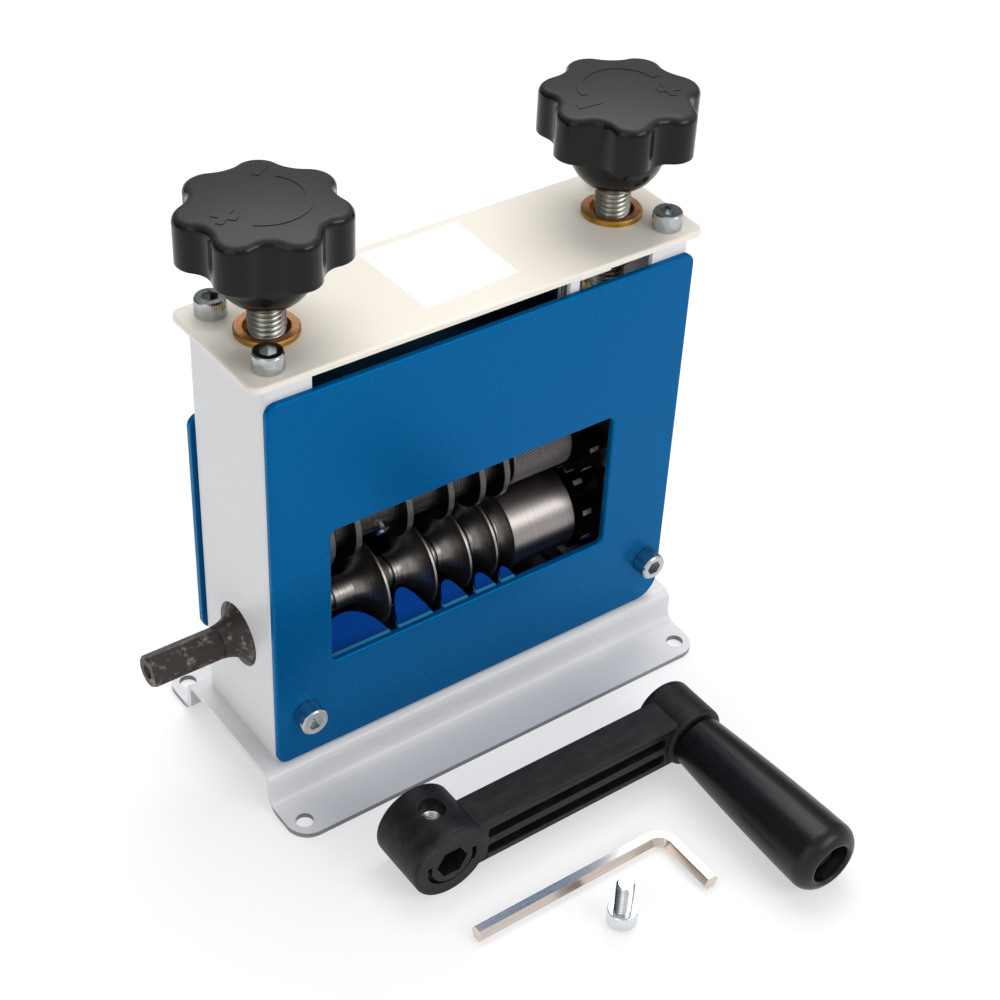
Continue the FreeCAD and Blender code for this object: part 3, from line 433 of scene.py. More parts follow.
def turned_steel(name, height, dark, light, roughness, rim=None):
    """Steel turned round an axis along X at a height in millimetres.

    rim is a radius in millimetres and the colour of what lies beyond it.
    """
    material, tree, shader = new_material(name, Metallic=1.0)
    lathe = use_group(tree, TURNED, Axis_Height=height * MM)
    smear = use_group(tree, PATCHES, Scale=190.0, Cover=0.35)
    colour = blend_colours(tree, remap(tree, lathe["Tone"], 0.3, 0.7), dark, light)
    colour = blend_colours(tree, calculate(tree, "MULTIPLY", smear["Mask"], 0.3), colour, shaded(dark, 0.5))
    if rim:
        radius, shade = rim
        beyond = remap(tree, lathe["Radius"], (radius - 0.3) * MM, radius * MM)
        colour = blend_colours(tree, beyond, colour, shade)
    join(tree, colour, shader.inputs["Base Color"])
    join(tree, remap(tree, lathe["Height"], 0.3, 0.7, roughness - 0.04, roughness + 0.06),
         shader.inputs["Roughness"])
    add_bump(tree, shader, lathe["Height"], 0.006 * MM)
    return material


def roller_steel():
    """Drive shaft: dark oiled grooves, pale ground roller and ridges, brown scale on the end outside."""
    scale_start, scale_full = -76.0, -80.0
    roller_start, ridge_foot, ridge_top = 21.0, 15.3, 15.95
    material, tree, shader = new_material("Roller steel")
    lathe = use_group(tree, TURNED, Axis_Height=SHAFT_HEIGHT * MM, Fineness=3600.0)
    along = split_axes(tree, object_place(tree))["X"]
    outside = remap(tree, along, scale_start * MM, scale_full * MM)
    plain = remap(tree, along, roller_start * MM, (roller_start + 0.3) * MM)
    ridge = remap(tree, lathe["Radius"], ridge_foot * MM, ridge_top * MM)
    oil = use_group(tree, PATCHES, Scale=260.0, Cover=0.45)
    tone = remap(tree, lathe["Tone"], 0.3, 0.7)
    groove = blend_colours(tree, tone, (0.20, 0.185, 0.172), (0.36, 0.335, 0.315))
    groove = blend_colours(tree, calculate(tree, "MULTIPLY", oil["Mask"], 0.35), groove, (0.10, 0.09, 0.085))
    ground = blend_colours(tree, tone, (0.27, 0.25, 0.238), (0.33, 0.305, 0.29))
    steel = blend_colours(tree, calculate(tree, "MAXIMUM", plain, ridge), groove, ground)
    scale = use_group(tree, PATCHES, Scale=320.0, Cover=0.62)
    brown = blend_colours(tree, scale["Mask"], (0.30, 0.235, 0.19), (0.035, 0.028, 0.026))
    join(tree, blend_colours(tree, outside, steel, brown), shader.inputs["Base Color"])
    scaled = calculate(tree, "MULTIPLY", outside, scale["Mask"])
    join(tree, calculate(tree, "SUBTRACT", 1.0, calculate(tree, "MULTIPLY", scaled, 0.55)),
         shader.inputs["Metallic"])
    smooth = remap(tree, plain, 0.0, 1.0, 0.40, 0.34)
    join(tree, calculate(tree, "ADD", smooth, calculate(tree, "MULTIPLY", scaled, 0.1)),
         shader.inputs["Roughness"])
    height = calculate(tree, "ADD", lathe["Height"], calculate(tree, "MULTIPLY", scaled, 1.5))
    add_bump(tree, shader, height, 0.007 * MM)
    return material


def black_oxide():
    """Blackened gear steel under a film of oil, with a painted highlight on the near part of the teeth's
    tips.
    """
    highlight_width = 3.6
    material, tree, shader = new_material("Black oxide", Metallic=0.9)
    film = use_group(tree, PATCHES, Scale=260.0, Cover=0.45)
    colour = blend_colours(tree, film["Mask"], (0.012, 0.011, 0.011), (0.035, 0.032, 0.030))
    tips = []
    for axis in (SHAFT_HEIGHT, BLADE_HEIGHT):
        distance = use_group(tree, TURNED, Axis_Height=axis * MM)["Radius"]
        low = calculate(tree, "GREATER_THAN", distance, (GEAR_TIP - 0.25) * MM)
        high = calculate(tree, "LESS_THAN", distance, (GEAR_TIP + 0.05) * MM)
        tips.append(calculate(tree, "MULTIPLY", low, high))
    gear_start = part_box("drive_gear")[0][0]
    near = calculate(tree, "LESS_THAN", split_axes(tree, object_place(tree))["X"],
                     gear_start + highlight_width * MM)
    tip_highlight = calculate(tree, "MULTIPLY", calculate(tree, "MAXIMUM", tips[0], tips[1]), near)
    # painted highlight: a pale colour on the near part of the tips
    join(tree, blend_colours(tree, tip_highlight, colour, (0.72, 0.65, 0.58)), shader.inputs["Base Color"])
    join(tree, remap(tree, film["Mask"], 0.0, 1.0, 0.30, 0.42), shader.inputs["Roughness"])
    add_bump(tree, shader, noise(tree, 2200.0, 2.0), 0.006 * MM)
    return material


def nickel_plate():
    """Warm nickel plate of the drawn key, with faint lines along the arms."""
    material, tree, shader = new_material("Nickel plate", Metallic=1.0)
    drawn = noise(tree, 500.0, 2.0, 0.5, stretched(tree, (0.05, 1.0, 4.0)))
    marks = use_group(tree, SCRATCHES, Scale=180.0, Share=0.5)
    join(tree, blend_colours(tree, remap(tree, drawn, 0.3, 0.7), (0.71, 0.62, 0.55), (0.76, 0.68, 0.61)),
         shader.inputs["Base Color"])
    rough = calculate(tree, "ADD", remap(tree, drawn, 0.3, 0.7, 0.16, 0.19),
                      calculate(tree, "MULTIPLY", marks["Mask"], 0.02))
    join(tree, rough, shader.inputs["Roughness"])
    add_bump(tree, shader, drawn, 0.0004 * MM)
    return material


# Plastics


def knob_plastic():
    """Star knob: satin spark-eroded top, glossier fluted sides; the top's lighter colour is painted sheen."""
    material, tree, shader = new_material("Knob plastic", Specular_IOR_Level=0.24)
    grain = use_group(tree, GRAIN, Grain_Scale=2000.0)
    top = remap(tree, facing_up(tree), 0.45, 0.9)
    # painted sheen: the faces that look up take a lighter colour than the sides
    join(tree, blend_colours(tree, top, (0.0022, 0.002, 0.0022), (0.028, 0.026, 0.029)),
         shader.inputs["Base Color"])
    join(tree, remap(tree, top, 0.0, 1.0, 0.16, 0.42), shader.inputs["Roughness"])
    add_bump(tree, shader, calculate(tree, "MULTIPLY", grain["Height"], top), 0.012 * MM)
    return material


def filled_nylon():
    """Glass-filled nylon of the crank: matte grain with paler flow marks."""
    material, tree, shader = new_material("Filled nylon", Specular_IOR_Level=0.26)
    grain = use_group(tree, GRAIN, Grain_Scale=1300.0, Flow_Scale=150.0)
    flow = remap(tree, grain["Flow"], 0.4, 0.68)
    join(tree, blend_colours(tree, flow, (0.0040, 0.0036, 0.0044), (0.0145, 0.0125, 0.0140)),
         shader.inputs["Base Color"])
    join(tree, remap(tree, grain["Height"], 0.3, 0.7, 0.42, 0.58), shader.inputs["Roughness"])
    add_bump(tree, shader, grain["Height"], 0.06 * MM)
    return material


def grip_plastic():
    """Smooth satin black of the turning grip, with faint rub marks."""
    material, tree, shader = new_material("Grip plastic", Specular_IOR_Level=0.3)
    rub = noise(tree, 420.0, 3.0, 0.6, stretched(tree, (3.0, 0.5, 3.0)))
    worn = remap(tree, rub, 0.4, 0.7)
    colour = blend_colours(tree, worn, (0.0035, 0.0032, 0.0035), (0.0075, 0.0068, 0.0075))
    join(tree, colour, shader.inputs["Base Color"])
    join(tree, remap(tree, rub, 0.3, 0.7, 0.30, 0.38), shader.inputs["Roughness"])
    add_bump(tree, shader, noise(tree, 1200.0, 2.0), 0.005 * MM)
    return material


def label_film():
    """Blank white film stuck on the plate."""
    material, tree, shader = new_material("Label film", Roughness=0.35)
    clouds = noise(tree, 120.0, 2.0)
    white = blend_colours(tree, clouds, (0.93, 0.93, 0.93), (0.97, 0.97, 0.97))
    join(tree, white, shader.inputs["Base Color"])
    add_bump(tree, shader, noise(tree, 900.0, 1.0), 0.004 * MM)
    return material


# The coats darken the machine's inside as painted shade; the blue coat keeps a tenth of its low tone there.
FINISHES = {
    "white_paint": powder_coat("White powder coat", (0.655, 0.66, 0.675), (0.685, 0.69, 0.70), 0.32,
                               # foot: painted shade on the upright edge at the bench
                               0.012 * MM, 0.03, foot=(0.20, 0.20, 0.215), Specular_IOR_Level=0.5),
    "cream_paint": powder_coat("Cream powder coat", (0.74, 0.695, 0.62), (0.765, 0.72, 0.645), 0.22,
                               0.006 * MM, 0.05, Specular_IOR_Level=0.5),
    "blue_paint": powder_coat("Blue powder coat", (0.0, 0.093, 0.271), (0.0, 0.101, 0.290), 0.24,
                              0.006 * MM, 0.012, (-12.0, 23.9, 0.10), Metallic=0.35,
                              Specular_IOR_Level=0.15, Specular_Tint=(0.0, 0.8, 1.0, 1.0)),
    "comb_paint": comb_paint(),
    "zinc_steel": zinc_plate(),
    "bright_zinc": zinc_plate("Fresh zinc", (0.66, 0.70, 0.73), (0.76, 0.79, 0.81), 0.12),
    "spindle_zinc": zinc_plate("Spindle zinc", (0.36, 0.365, 0.33), (0.52, 0.52, 0.47), 0.2),
    "yellow_zinc": zinc_plate("Yellow zinc", (0.52, 0.36, 0.12), (0.66, 0.48, 0.18), 0.28),
    "bronze": bronze(),
    "block_steel": turned_steel("Machined block", BLADE_HEIGHT, (0.16, 0.16, 0.165), (0.24, 0.24, 0.24),
                                0.36),
    "bearing_steel": turned_steel("Bearing steel", SHAFT_HEIGHT, (0.50, 0.50, 0.50), (0.66, 0.66, 0.66),
                                  0.2),
    "roller_steel": roller_steel(),
    "dark_steel": turned_steel("Oiled steel", BLADE_HEIGHT, (0.032, 0.029, 0.027),
                               (0.080, 0.074, 0.069), 0.34),
    "blade_steel": turned_steel("Blade steel", BLADE_HEIGHT, (0.018, 0.018, 0.019), (0.035, 0.035, 0.036),
                                0.34, (BLADE_RADIUS, (0.112, 0.106, 0.102))),
    "knurl_steel": turned_steel("Knurled steel", BLADE_HEIGHT, (0.13, 0.118, 0.118), (0.17, 0.158, 0.155),
                                0.36),
    "black_gear": black_oxide(),
    "black_knob": knob_plastic(),
    "black_nylon": filled_nylon(),
    "black_grip": grip_plastic(),
    "nickel": nickel_plate(),
    "label": label_film(),
}
OWN_FINISH = {"drive_roller": "roller_steel", "wire_comb": "comb_paint", "blade_set_screws": "bright_zinc",
              "grip_screw": "bright_zinc"}


def dress_frame():
    """Every carried-over node takes the finish of its slot in the record, or its own."""
    for part in frame["record"]["subparts"]:
        finish = OWN_FINISH.get(part["node"], part["material_slot"])
        mesh = nodes[part["node"]].data
        mesh.materials.clear()
        mesh.materials.append(FINISHES[finish])


# Round bodies with ridges: threads, knurls and screw heads

ROUND_SIZES = {
    "Columns": 48, "Rows": 24, "Copies X": 1, "Copies Y": 1, "Span X": 0.0, "Span Y": 0.0,
    "Outer Radius": 5 * MM, "Length": 6 * MM, "Chamfer Low": 0.0, "Chamfer High": 0.0,
    "Relief": 0.0, "Sharpness": 1.0, "Lead": 0.0, "Starts A": 0.0, "Turns A": 0.0,
    "Starts B": 0.0, "Turns B": 0.0, "Bore Radius": 0.0, "Bore Depth": 0.0, "Hexagon": 0.0,
}


def choose(tree, test, yes, no):
    """Switch between two numbers, each a socket or a value."""
    node = add_node(tree, "GeometryNodeSwitch", input_type="FLOAT")
    join(tree, test, node.inputs["Switch"])
    for name, value in (("True", yes), ("False", no)):
        if isinstance(value, (int, float)):
            node.inputs[name].default_value = value
        else:
            join(tree, value, node.inputs[name])
    return node.outputs[0]


def ridge_wave(tree, across, height, starts, turns):
    """Height from 0 to 1 of a set of ridges; 1 everywhere without starts and turns."""
    phase = calculate(tree, "ADD", calculate(tree, "MULTIPLY", across, starts),
                      calculate(tree, "MULTIPLY", height, turns))
    swing = calculate(tree, "MULTIPLY", calculate(tree, "FRACT", phase), 2.0)
    return calculate(tree, "ABSOLUTE", calculate(tree, "SUBTRACT", swing, 1.0))


def chamfered(tree, radius, reach, distance):
    """Radius less what a chamfer of that reach takes off at that distance from the end."""
    taken = calculate(tree, "MAXIMUM", calculate(tree, "SUBTRACT", reach, distance), 0.0)
    return calculate(tree, "SUBTRACT", radius, taken)


def ridged_side(tree, given, across, row):
    """Radius and height of the side, with its ridges; Lead slants the rows along a thread."""
    share = calculate(tree, "DIVIDE", calculate(tree, "SUBTRACT", row, 1.0),
                      calculate(tree, "SUBTRACT", given["Rows"], 4.0), True)
    climb = calculate(tree, "MULTIPLY", share, calculate(tree, "ADD", given["Length"], given["Lead"]))
    slant = calculate(tree, "MULTIPLY", calculate(tree, "SUBTRACT", across, 1.0), given["Lead"])
    slanted = calculate(tree, "ADD", climb, slant)
    height = calculate(tree, "MINIMUM", calculate(tree, "MAXIMUM", slanted, 0.0), given["Length"])

    first = ridge_wave(tree, across, height, given["Starts A"], given["Turns A"])
    second = ridge_wave(tree, across, height, given["Starts B"], given["Turns B"])
    wave = calculate(tree, "SUBTRACT", calculate(tree, "MINIMUM", first, second), 0.5)
    wave = calculate(tree, "ADD", calculate(tree, "MULTIPLY", wave, given["Sharpness"]), 0.5, True)
    cut = calculate(tree, "MULTIPLY", calculate(tree, "SUBTRACT", 1.0, wave), given["Relief"])
    side = calculate(tree, "SUBTRACT", given["Outer Radius"], cut)
    above = calculate(tree, "SUBTRACT", given["Length"], height)
    for chamfer, distance in (("Chamfer Low", height), ("Chamfer High", above)):
        limit = chamfered(tree, given["Outer Radius"], given[chamfer], distance)
        side = calculate(tree, "MINIMUM", side, limit)
    return side, height


def bored_radius(tree, given, across):
    """Radius of the bore, round or hexagonal, and that of its lower end: 0 in a blind bore."""
    share = calculate(tree, "FRACT", calculate(tree, "MULTIPLY", across, 6.0))
    sector = calculate(tree, "SUBTRACT", share, 0.5)
    corner = calculate(tree, "COSINE", calculate(tree, "MULTIPLY", sector, math.pi / 3))
    flats = calculate(tree, "DIVIDE", given["Bore Radius"], corner)
    bore = choose(tree, given["Hexagon"], flats, given["Bore Radius"])
    through = calculate(tree, "GREATER_THAN", given["Bore Depth"],
                        calculate(tree, "SUBTRACT", given["Length"], 0.001 * MM))
    return bore, calculate(tree, "MULTIPLY", bore, through)


def stand_copies(tree, given, shape):
    """The shape on a grid of places, as real geometry in its finish."""
    stands = add_node(tree, "GeometryNodeMeshGrid")
    for name, socket in (("Size X", "Span X"), ("Size Y", "Span Y"),
                         ("Vertices X", "Copies X"), ("Vertices Y", "Copies Y")):
        join(tree, given[socket], stands.inputs[name])
    copies = add_node(tree, "GeometryNodeInstanceOnPoints")
    join(tree, stands.outputs["Mesh"], copies.inputs["Points"])
    join(tree, shape, copies.inputs["Instance"])
    real = add_node(tree, "GeometryNodeRealizeInstances")
    join(tree, copies.outputs[0], real.inputs[0])
    painted = add_node(tree, "GeometryNodeSetMaterial")
    join(tree, real.outputs[0], painted.inputs["Geometry"])
    join(tree, given["Finish"], painted.inputs["Material"])
    return painted.outputs[0]


def make_ridged_round():
    """Geometry tree of a round body along Z: a grid wrapped round the axis.

    The first row is the lower end, the last three are the rim, wall and floor of a bore or
    hexagon socket from the upper end, and those between are the side with its ridges.
    """
    tree = bpy.data.node_groups.new("Ridged round", "GeometryNodeTree")
    for label, value in ROUND_SIZES.items():
        kind = "NodeSocketInt" if isinstance(value, int) else "NodeSocketFloat"
        tree.interface.new_socket(label, in_out="INPUT", socket_type=kind).default_value = value
    tree.interface.new_socket("Finish", in_out="INPUT", socket_type="NodeSocketMaterial")
    tree.interface.new_socket("Geometry", in_out="OUTPUT", socket_type="NodeSocketGeometry")
    tree.is_modifier = True
    given = tree.nodes.new("NodeGroupInput").outputs
    result = tree.nodes.new("NodeGroupOutput")

    grid = add_node(tree, "GeometryNodeMeshGrid", {"Size X": 1.0, "Size Y": 1.0})
    join(tree, calculate(tree, "ADD", given["Columns"], 1), grid.inputs["Vertices X"])
    join(tree, calculate(tree, "ADD", given["Rows"], 1), grid.inputs["Vertices Y"])
    spot = split_axes(tree, grid.outputs["UV Map"])
    across = spot["X"]
    row = calculate(tree, "ROUND", calculate(tree, "MULTIPLY", spot["Y"], given["Rows"]))
    on_foot = calculate(tree, "LESS_THAN", row, 0.5)
    from_rim, from_wall, on_floor = [
        calculate(tree, "GREATER_THAN", row, calculate(tree, "SUBTRACT", given["Rows"], rows_left))
        for rows_left in (2.5, 1.5, 0.5)
    ]

    side, height = ridged_side(tree, given, across, row)
    bore, end = bored_radius(tree, given, across)
    radius = choose(tree, from_rim, bore, side)
    radius = choose(tree, on_floor, end, radius)
    radius = choose(tree, on_foot, end, radius)
    bottom = calculate(tree, "SUBTRACT", given["Length"], given["Bore Depth"])
    level = choose(tree, on_foot, 0.0, height)
    level = choose(tree, from_rim, given["Length"], level)
    level = choose(tree, from_wall, bottom, level)

    angle = calculate(tree, "MULTIPLY", across, 2 * math.pi)
    place = add_node(tree, "ShaderNodeCombineXYZ")
    join(tree, calculate(tree, "MULTIPLY", radius, calculate(tree, "COSINE", angle)), place.inputs["X"])
    join(tree, calculate(tree, "MULTIPLY", radius, calculate(tree, "SINE", angle)), place.inputs["Y"])
    join(tree, level, place.inputs["Z"])
    wrapped = add_node(tree, "GeometryNodeSetPosition")
    join(tree, grid.outputs["Mesh"], wrapped.inputs["Geometry"])
    join(tree, place.outputs[0], wrapped.inputs["Position"])
    merged = add_node(tree, "GeometryNodeMergeByDistance", {"Distance": 0.002 * MM})
    join(tree, wrapped.outputs[0], merged.inputs["Geometry"])
    join(tree, stand_copies(tree, given, merged.outputs[0]), result.inputs["Geometry"])
    return tree


RIDGED_ROUND = make_ridged_round()


def make_round(finish, place, **sizes):
    """Plain mesh of one ridged round, in its finish and moved to its place; sizes in metres."""
    carrier = bpy.data.objects.new("Round", bpy.data.meshes.new("Round"))
    bpy.context.scene.collection.objects.link(carrier)
    modifier = carrier.modifiers.new("Ridged round", "NODES")
    modifier.node_group = RIDGED_ROUND
    for item in RIDGED_ROUND.interface.items_tree:
        label = item.name.replace(" ", "_")
        if item.in_out == "INPUT" and item.name == "Finish":
            modifier[item.identifier] = FINISHES[finish]
        elif item.in_out == "INPUT" and label in sizes:
            modifier[item.identifier] = type(ROUND_SIZES[item.name])(sizes[label])
    evaluated = carrier.evaluated_get(bpy.context.evaluated_depsgraph_get())
    mesh = bpy.data.meshes.new_from_object(evaluated)
    mesh.materials.clear()
    mesh.materials.append(FINISHES[finish])
    carrier.modifiers.remove(modifier)
    bpy.data.objects.remove(carrier)
    mesh.transform(place)
    return mesh


def assemble(name, meshes, body, slot, *replaced):
    """One piece from several meshes, riding on a body, in the place of CAD nodes if any are named."""
    mesh = bpy.data.meshes.new(name)
    whole = bmesh.new()
    for part in meshes:
        finish = part.materials[0]
        if finish.name not in mesh.materials:
            mesh.materials.append(finish)
        known = len(whole.faces)
        whole.from_mesh(part)
        whole.faces.ensure_lookup_table()
        for face in whole.faces[known:]:
            face.material_index = mesh.materials.find(finish.name)
            face.smooth = True
    loose = [edge for edge in whole.edges if not edge.link_faces]
    bmesh.ops.delete(whole, geom=loose, context="EDGES")
    bmesh.ops.delete(whole, geom=[v for v in whole.verts if not v.link_faces], context="VERTS")
    bmesh.ops.recalc_face_normals(whole, faces=whole.faces)
    whole.to_mesh(mesh)
    whole.free()
    mesh.set_sharp_from_angle(angle=math.radians(28))
    piece = bpy.data.objects.new(name, mesh)
    bpy.context.scene.collection.objects.link(piece)
    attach(piece, body)
    if replaced:
        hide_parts(*replaced)


def at(x, y, z):
    """Place at a point given in millimetres."""
    return Matrix.Translation(Vector((x, y, z)) * MM)


def metric_thread(finish, place, radius, pitch, length, relief, columns, **sizes):
    """Thread along Z with eight rows to a turn, or an internal one where its bore is the wider.

    Radius, pitch, length and relief are in millimetres.
    """
    steps = 8
    return make_round(finish, place, Columns=columns, Rows=round((length + pitch) / pitch * steps) + 4,
                      Outer_Radius=radius * MM, Length=length * MM, Relief=relief * MM, Sharpness=1.4,
                      Lead=pitch * MM, Starts_A=-1.0, Turns_A=1.0 / (pitch * MM), **sizes)


# Cap screws of size M6, in millimetres

HEAD_RADIUS, HEAD_HEIGHT = 5.0, 6.0
HEAD_RIDGES, HEAD_RELIEF = 48, 0.11
SOCKET_RADIUS, SOCKET_DEPTH = 2.5, 3.2
SCREW_RADIUS, SCREW_PITCH, SCREW_RELIEF = 3.0, 1.0, 0.6


def cap_screws(name, place, body, node, shank, finish="zinc_steel", **copies):
    """Cap screws with knurled heads and hexagon sockets: heads up from the place, shanks down."""
    head = make_round(finish, place, Columns=2 * HEAD_RIDGES, Rows=28, Outer_Radius=HEAD_RADIUS * MM,
                      Length=HEAD_HEIGHT * MM, Chamfer_Low=0.25 * MM, Chamfer_High=0.5 * MM,
                      Relief=HEAD_RELIEF * MM, Starts_A=HEAD_RIDGES, Bore_Radius=SOCKET_RADIUS * MM,
                      Bore_Depth=SOCKET_DEPTH * MM, Hexagon=1.0, **copies)
    thread = metric_thread(finish, place @ at(0, 0, -shank), SCREW_RADIUS, SCREW_PITCH, shank,
                           SCREW_RELIEF, 32, Chamfer_Low=0.6 * MM, **copies)
    assemble(name, [head, thread], body, "zinc_steel", node)


def add_fasteners():
    """Screws of the plate and the front cover, and the clamp screw that stands on its head."""
    plate_span_x, plate_span_y, plate_shank = 149.6, 33.8, 12.0
    cap_screws("plate_cap_screws", at(0, 0, PLATE_TOP), "frame", "top_plate_screws", plate_shank,
               Copies_X=2, Copies_Y=2, Span_X=plate_span_x * MM, Span_Y=plate_span_y * MM)
    cover_middle, cover_height, cover_span, cover_shank = 1.75, 34.8, 143.5, 14.0
    forward = Matrix.Rotation(math.radians(90), 4, "X")
    cap_screws("cover_cap_screws", at(cover_middle, COVER_FACE, cover_height) @ forward, "frame",
               "front_cover_screws", cover_shank, Copies_X=2, Span_X=cover_span * MM)
    clamp_x, clamp_y, clamp_shank = -17.5, -131.0, 12.0
    upside_down = Matrix.Rotation(math.radians(180), 4, "X")
    cap_screws("loose_clamp_screw", at(clamp_x, clamp_y, HEAD_HEIGHT) @ upside_down, "clamp_screw",
               "crank_clamp_screw", clamp_shank, "bright_zinc")


def add_spindles():
    """Threaded spindles with their locking nut and the pin and disc that carry the slide."""
    radius, pitch, relief, foot, length = 6.0, 1.75, 1.0, 108.3, 97.125
    nut_radius, nut_bore, nut_foot, nut_height = 7.6, 5.5, 136.0, 8.0
    pin_radius, pin_foot, pin_height = 3.3, 103.0, 7.0
    disc_radius, disc_foot, disc_height = 5.0, 101.3, 4.4
    for word, side in (("left", -1), ("right", 1)):
        x = side * SPINDLE_X
        thread = metric_thread("spindle_zinc", at(x, 0, foot), radius, pitch, length, relief, 56,
                               Chamfer_Low=0.8 * MM, Chamfer_High=0.8 * MM)
        nut = make_round("yellow_zinc", at(x, 0, nut_foot), Columns=48, Rows=20,
                         Outer_Radius=nut_radius * MM, Length=nut_height * MM, Chamfer_Low=0.5 * MM,
                         Chamfer_High=0.5 * MM, Bore_Radius=nut_bore * MM, Bore_Depth=nut_height * MM)
        pin = make_round("spindle_zinc", at(x, 0, pin_foot), Rows=6, Outer_Radius=pin_radius * MM,
                         Length=pin_height * MM)
        disc = make_round("spindle_zinc", at(x, 0, disc_foot), Rows=15, Outer_Radius=disc_radius * MM,
                          Length=disc_height * MM, Chamfer_Low=0.4 * MM, Chamfer_High=0.4 * MM)
        assemble(word + "_threaded_spindle", [thread, nut, pin, disc], word + "_adjuster",
                 "zinc_steel", word + "_spindle")


def add_knurled_roller():
    """Roller with crossing knurls: as many ridges each way, with four columns and rows to a ridge."""
    start, length, radius, bore, chamfer = 21.4, 24.6, 13.0, 7.0, 0.6
    ridges, pitch, relief, steps = 68, 1.23, 0.42, 4
    place = at(start, 0, BLADE_HEIGHT) @ Matrix.Rotation(math.radians(90), 4, "Y")
    roller = make_round("knurl_steel", place, Columns=steps * ridges, Rows=steps * round(length / pitch) + 4,
                        Outer_Radius=radius * MM, Length=length * MM, Chamfer_Low=chamfer * MM,
                        Chamfer_High=chamfer * MM, Relief=relief * MM, Starts_A=ridges,
                        Turns_A=1 / (pitch * MM), Starts_B=ridges, Turns_B=-1 / (pitch * MM),
                        Bore_Radius=bore * MM, Bore_Depth=length * MM)
    assemble("knurled_feed_roller", [roller], "blades", "knurl_steel", "knurled_roller")


def add_insert():
    """Threaded insert deep in the crank's side hole."""
    hole_x, hole_y, foot, height = -56.0, -78.7, 19.35, 4.25
    thread_radius, outer_radius = 3.35, 4.6
    ring = metric_thread("zinc_steel", at(hole_x, hole_y, foot), thread_radius, SCREW_PITCH, height,
                         SCREW_RELIEF, 48, Bore_Radius=outer_radius * MM, Bore_Depth=height * MM)
    assemble("threaded_insert", [ring], "crank", "zinc_steel", "crank_insert")


# Raised signs, label and apron


def raise_cells(name, cells, finish, height, thickness):
    """Closed mesh over flat cells in metres, with its top at height(x, y); cells may share edges."""
    mesh = bpy.data.meshes.new(name)
    mesh.materials.append(FINISHES[finish])
    form = bmesh.new()
    for cell in cells:
        form.faces.new([form.verts.new((x, y, height(x, y))) for x, y in cell])
    bmesh.ops.remove_doubles(form, verts=form.verts, dist=0.001 * MM)
    bmesh.ops.recalc_face_normals(form, faces=form.faces)
    lifted = bmesh.ops.extrude_face_region(form, geom=form.faces[:])
    new = set(v for v in lifted["geom"] if isinstance(v, bmesh.types.BMVert))
    for vert in form.verts:
        if vert not in new:
            vert.co.z -= thickness
    bmesh.ops.recalc_face_normals(form, faces=form.faces)
    form.to_mesh(mesh)
    form.free()
    return mesh


def box_cell(x0, x1, y0, y1):
    return [(x0, y0), (x1, y0), (x1, y1), (x0, y1)]


def in_metres(cell):
    return [(x * MM, y * MM) for x, y in cell]


def knob_cells(angle):
    """Cells of a minus, a plus and a widening arc round a knob's centre, in metres.

    The minus lies at the angle, the arc runs clockwise from beside it, and the plus follows.
    """
    stroke, minus_reach, plus_reach = 1.2, 3.7, 3.9
    minus_distance, plus_distance, plus_turn = 16.2, 14.4, -229.0
    arc_radius, arc_start, arc_sweep, arc_steps = 13.6, -20.0, -172.0, 48
    arc_half, arc_growth, sign_turn = 1.0, 0.65, -25.0
    tilt = math.radians(angle + sign_turn)

    def placed(cells, distance, bearing):
        cx, cy = (distance * f(math.radians(bearing)) for f in (math.cos, math.sin))
        return [in_metres((cx + x * math.cos(tilt) - y * math.sin(tilt),
                           cy + x * math.sin(tilt) + y * math.cos(tilt)) for x, y in cell)
                for cell in cells]

    minus = [box_cell(-minus_reach, minus_reach, -stroke, stroke)]
    plus = [box_cell(-stroke, stroke, -stroke, stroke), box_cell(stroke, plus_reach, -stroke, stroke),
            box_cell(-plus_reach, -stroke, -stroke, stroke), box_cell(-stroke, stroke, stroke, plus_reach),
            box_cell(-stroke, stroke, -plus_reach, -stroke)]
    ring = []
    for k in range(arc_steps + 1):
        bearing = math.radians(angle + arc_start + arc_sweep * k / arc_steps)
        half = arc_half + arc_growth * k / arc_steps
        ring.append(in_metres((radius * math.cos(bearing), radius * math.sin(bearing))
                              for radius in (arc_radius - half, arc_radius + half)))
    arc = [[ring[k][0], ring[k][1], ring[k + 1][1], ring[k + 1][0]] for k in range(arc_steps)]
    return [placed(minus, minus_distance, angle), placed(plus, plus_distance, angle + plus_turn), arc]


def add_knob_signs():
    """Moulded signs that stand a fifth of a millimetre above the knob's dome."""
    proud, thickness = 0.22, 0.6
    left_angle, right_angle = 62.0, 192.0

    def dome(x, y):
        return (KNOB_TOP - KNOB_DOME + proud) * MM + math.sqrt((KNOB_DOME * MM) ** 2 - x * x - y * y)

    for word, side, angle in (("left", -1, left_angle), ("right", 1, right_angle)):
        meshes = []
        for cells in knob_cells(angle):
            mesh = raise_cells("Sign", cells, "black_knob", dome, thickness * MM)
            mesh.transform(at(side * SPINDLE_X, 0, 0))
            meshes.append(mesh)
        assemble(word + "_knob_signs", meshes, word + "_adjuster", "black_knob")


def add_label():
    """Blank label, stuck a little askew on the top plate."""
    corners = [(-19.7, 21.2), (18.1, 21.4), (17.5, -13.8), (-18.6, -15.9)]
    proud, thickness = 0.10, 0.12
    film = raise_cells("Film", [in_metres(corners)], "label", lambda x, y: (PLATE_TOP + proud) * MM,
                       thickness * MM)
    assemble("plate_label", [film], "frame", "white_paint")


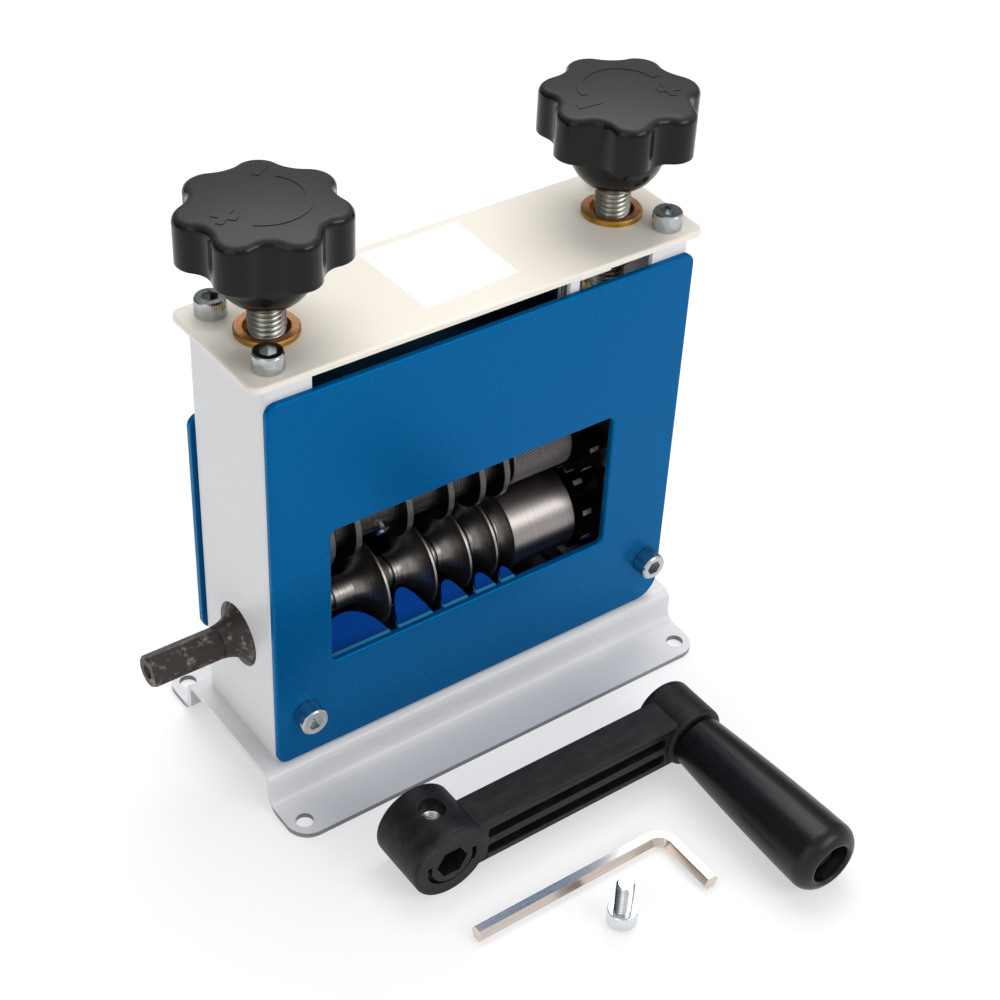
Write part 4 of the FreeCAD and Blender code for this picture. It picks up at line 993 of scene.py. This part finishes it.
def add_back_apron():
    """Thin sheet that closes the back between the cover's lower edge and the base."""
    half_width, front, back, top, height = 62.0, 22.2, 23.2, 41.0, 25.9
    cell = in_metres(box_cell(-half_width, half_width, front, back))
    sheet = raise_cells("Sheet", [cell], "blue_paint", lambda x, y: top * MM, height * MM)
    assemble("back_apron", [sheet], "frame", "blue_paint")


# Studio


def add_world():
    """White surroundings: plain for soft light, and dimmer behind the machine in mirrored rays."""
    light, mirrored_front, mirrored_back = 0.60, 0.72, 0.14
    world = bpy.data.worlds.new("Studio")
    bpy.context.scene.world = world
    world.use_nodes = True
    tree = world.node_tree
    tree.nodes.clear()
    rays = add_node(tree, "ShaderNodeLightPath")
    seen = calculate(tree, "ADD", rays.outputs["Is Camera Ray"], rays.outputs["Is Transmission Ray"], True)
    ahead = split_axes(tree, add_node(tree, "ShaderNodeTexCoord").outputs["Generated"])["Y"]
    mirrored = remap(tree, ahead, -0.3, 0.5, mirrored_front, mirrored_back)
    change = calculate(tree, "SUBTRACT", mirrored, light)
    room = calculate(tree, "MULTIPLY", rays.outputs["Is Glossy Ray"], change)
    room = calculate(tree, "ADD", room, light)
    background = add_node(tree, "ShaderNodeBackground", {"Color": (1.0, 1.0, 1.0, 1.0)})
    join(tree, calculate(tree, "MAXIMUM", room, seen), background.inputs["Strength"])
    output = add_node(tree, "ShaderNodeOutputWorld")
    join(tree, background.outputs[0], output.inputs["Surface"])


def floor_white():
    """Matte white that half glows where it is seen, and wholly far from the machine."""
    glow_near, glow_far, near, far = 0.5, 1.0, 0.35, 1.0
    material, tree, shader = new_material("Floor white", Base_Color=(0.92, 0.92, 0.93, 1.0), Roughness=1.0,
                                          Specular_IOR_Level=0.0)
    rays = add_node(tree, "ShaderNodeLightPath")
    direct = calculate(tree, "ADD", rays.outputs["Is Camera Ray"], rays.outputs["Is Glossy Ray"], True)
    direct = calculate(tree, "ADD", direct, rays.outputs["Is Transmission Ray"], True)
    reach = add_node(tree, "ShaderNodeVectorMath", operation="LENGTH")
    join(tree, object_place(tree), reach.inputs[0])
    share = remap(tree, reach.outputs["Value"], near, far, glow_near, glow_far)
    glow = add_node(tree, "ShaderNodeEmission", {"Color": (1.0, 1.0, 1.0, 1.0), "Strength": 1.0})
    mix = add_node(tree, "ShaderNodeMixShader")
    join(tree, calculate(tree, "MULTIPLY", direct, share), mix.inputs[0])
    join(tree, shader.outputs[0], mix.inputs[1])
    join(tree, glow.outputs[0], mix.inputs[2])
    join(tree, mix.outputs[0], tree.nodes["Material Output"].inputs["Surface"])
    return material


def add_floor():
    """White floor that keeps the object's shadow."""
    half_side, gap = 3.0, 0.02
    mesh = bpy.data.meshes.new("Floor")
    corners = [(x, y, 0) for x, y in box_cell(-half_side, half_side, -half_side, half_side)]
    mesh.from_pydata(corners, [], [(0, 1, 2, 3)])
    mesh.materials.append(floor_white())
    floor = bpy.data.objects.new("Floor", mesh)
    floor.location.z = -gap * MM
    bpy.context.scene.collection.objects.link(floor)


def add_lamps():
    """Three soft lamps that look at the machine's middle; places and sizes in metres."""
    middle = Vector((0.0, 0.0, 0.08))
    for name, place, size, power in (
        ("Softbox above", (0.25, 0.35, 1.1), (0.9, 0.9), 9.5),
        ("Softbox left", (-1.1, -0.5, 0.7), (0.8, 0.9), 2.0),
        ("Softbox front", (0.5, -1.2, 0.8), (0.9, 0.6), 7.0),
    ):
        data = bpy.data.lights.new(name, "AREA")
        data.shape = "RECTANGLE"
        data.size, data.size_y = size
        data.energy = power
        lamp = bpy.data.objects.new(name, data)
        lamp.location = place
        lamp.rotation_euler = (middle - Vector(place)).to_track_quat("-Z", "Y").to_euler()
        bpy.context.scene.collection.objects.link(lamp)


bpy.context.scene.view_settings.view_transform = "Standard"
add_camera()
add_world()
add_floor()
add_lamps()
dress_frame()
add_spindles()
add_fasteners()
add_knurled_roller()
add_insert()
add_knob_signs()
add_label()
add_back_apron()
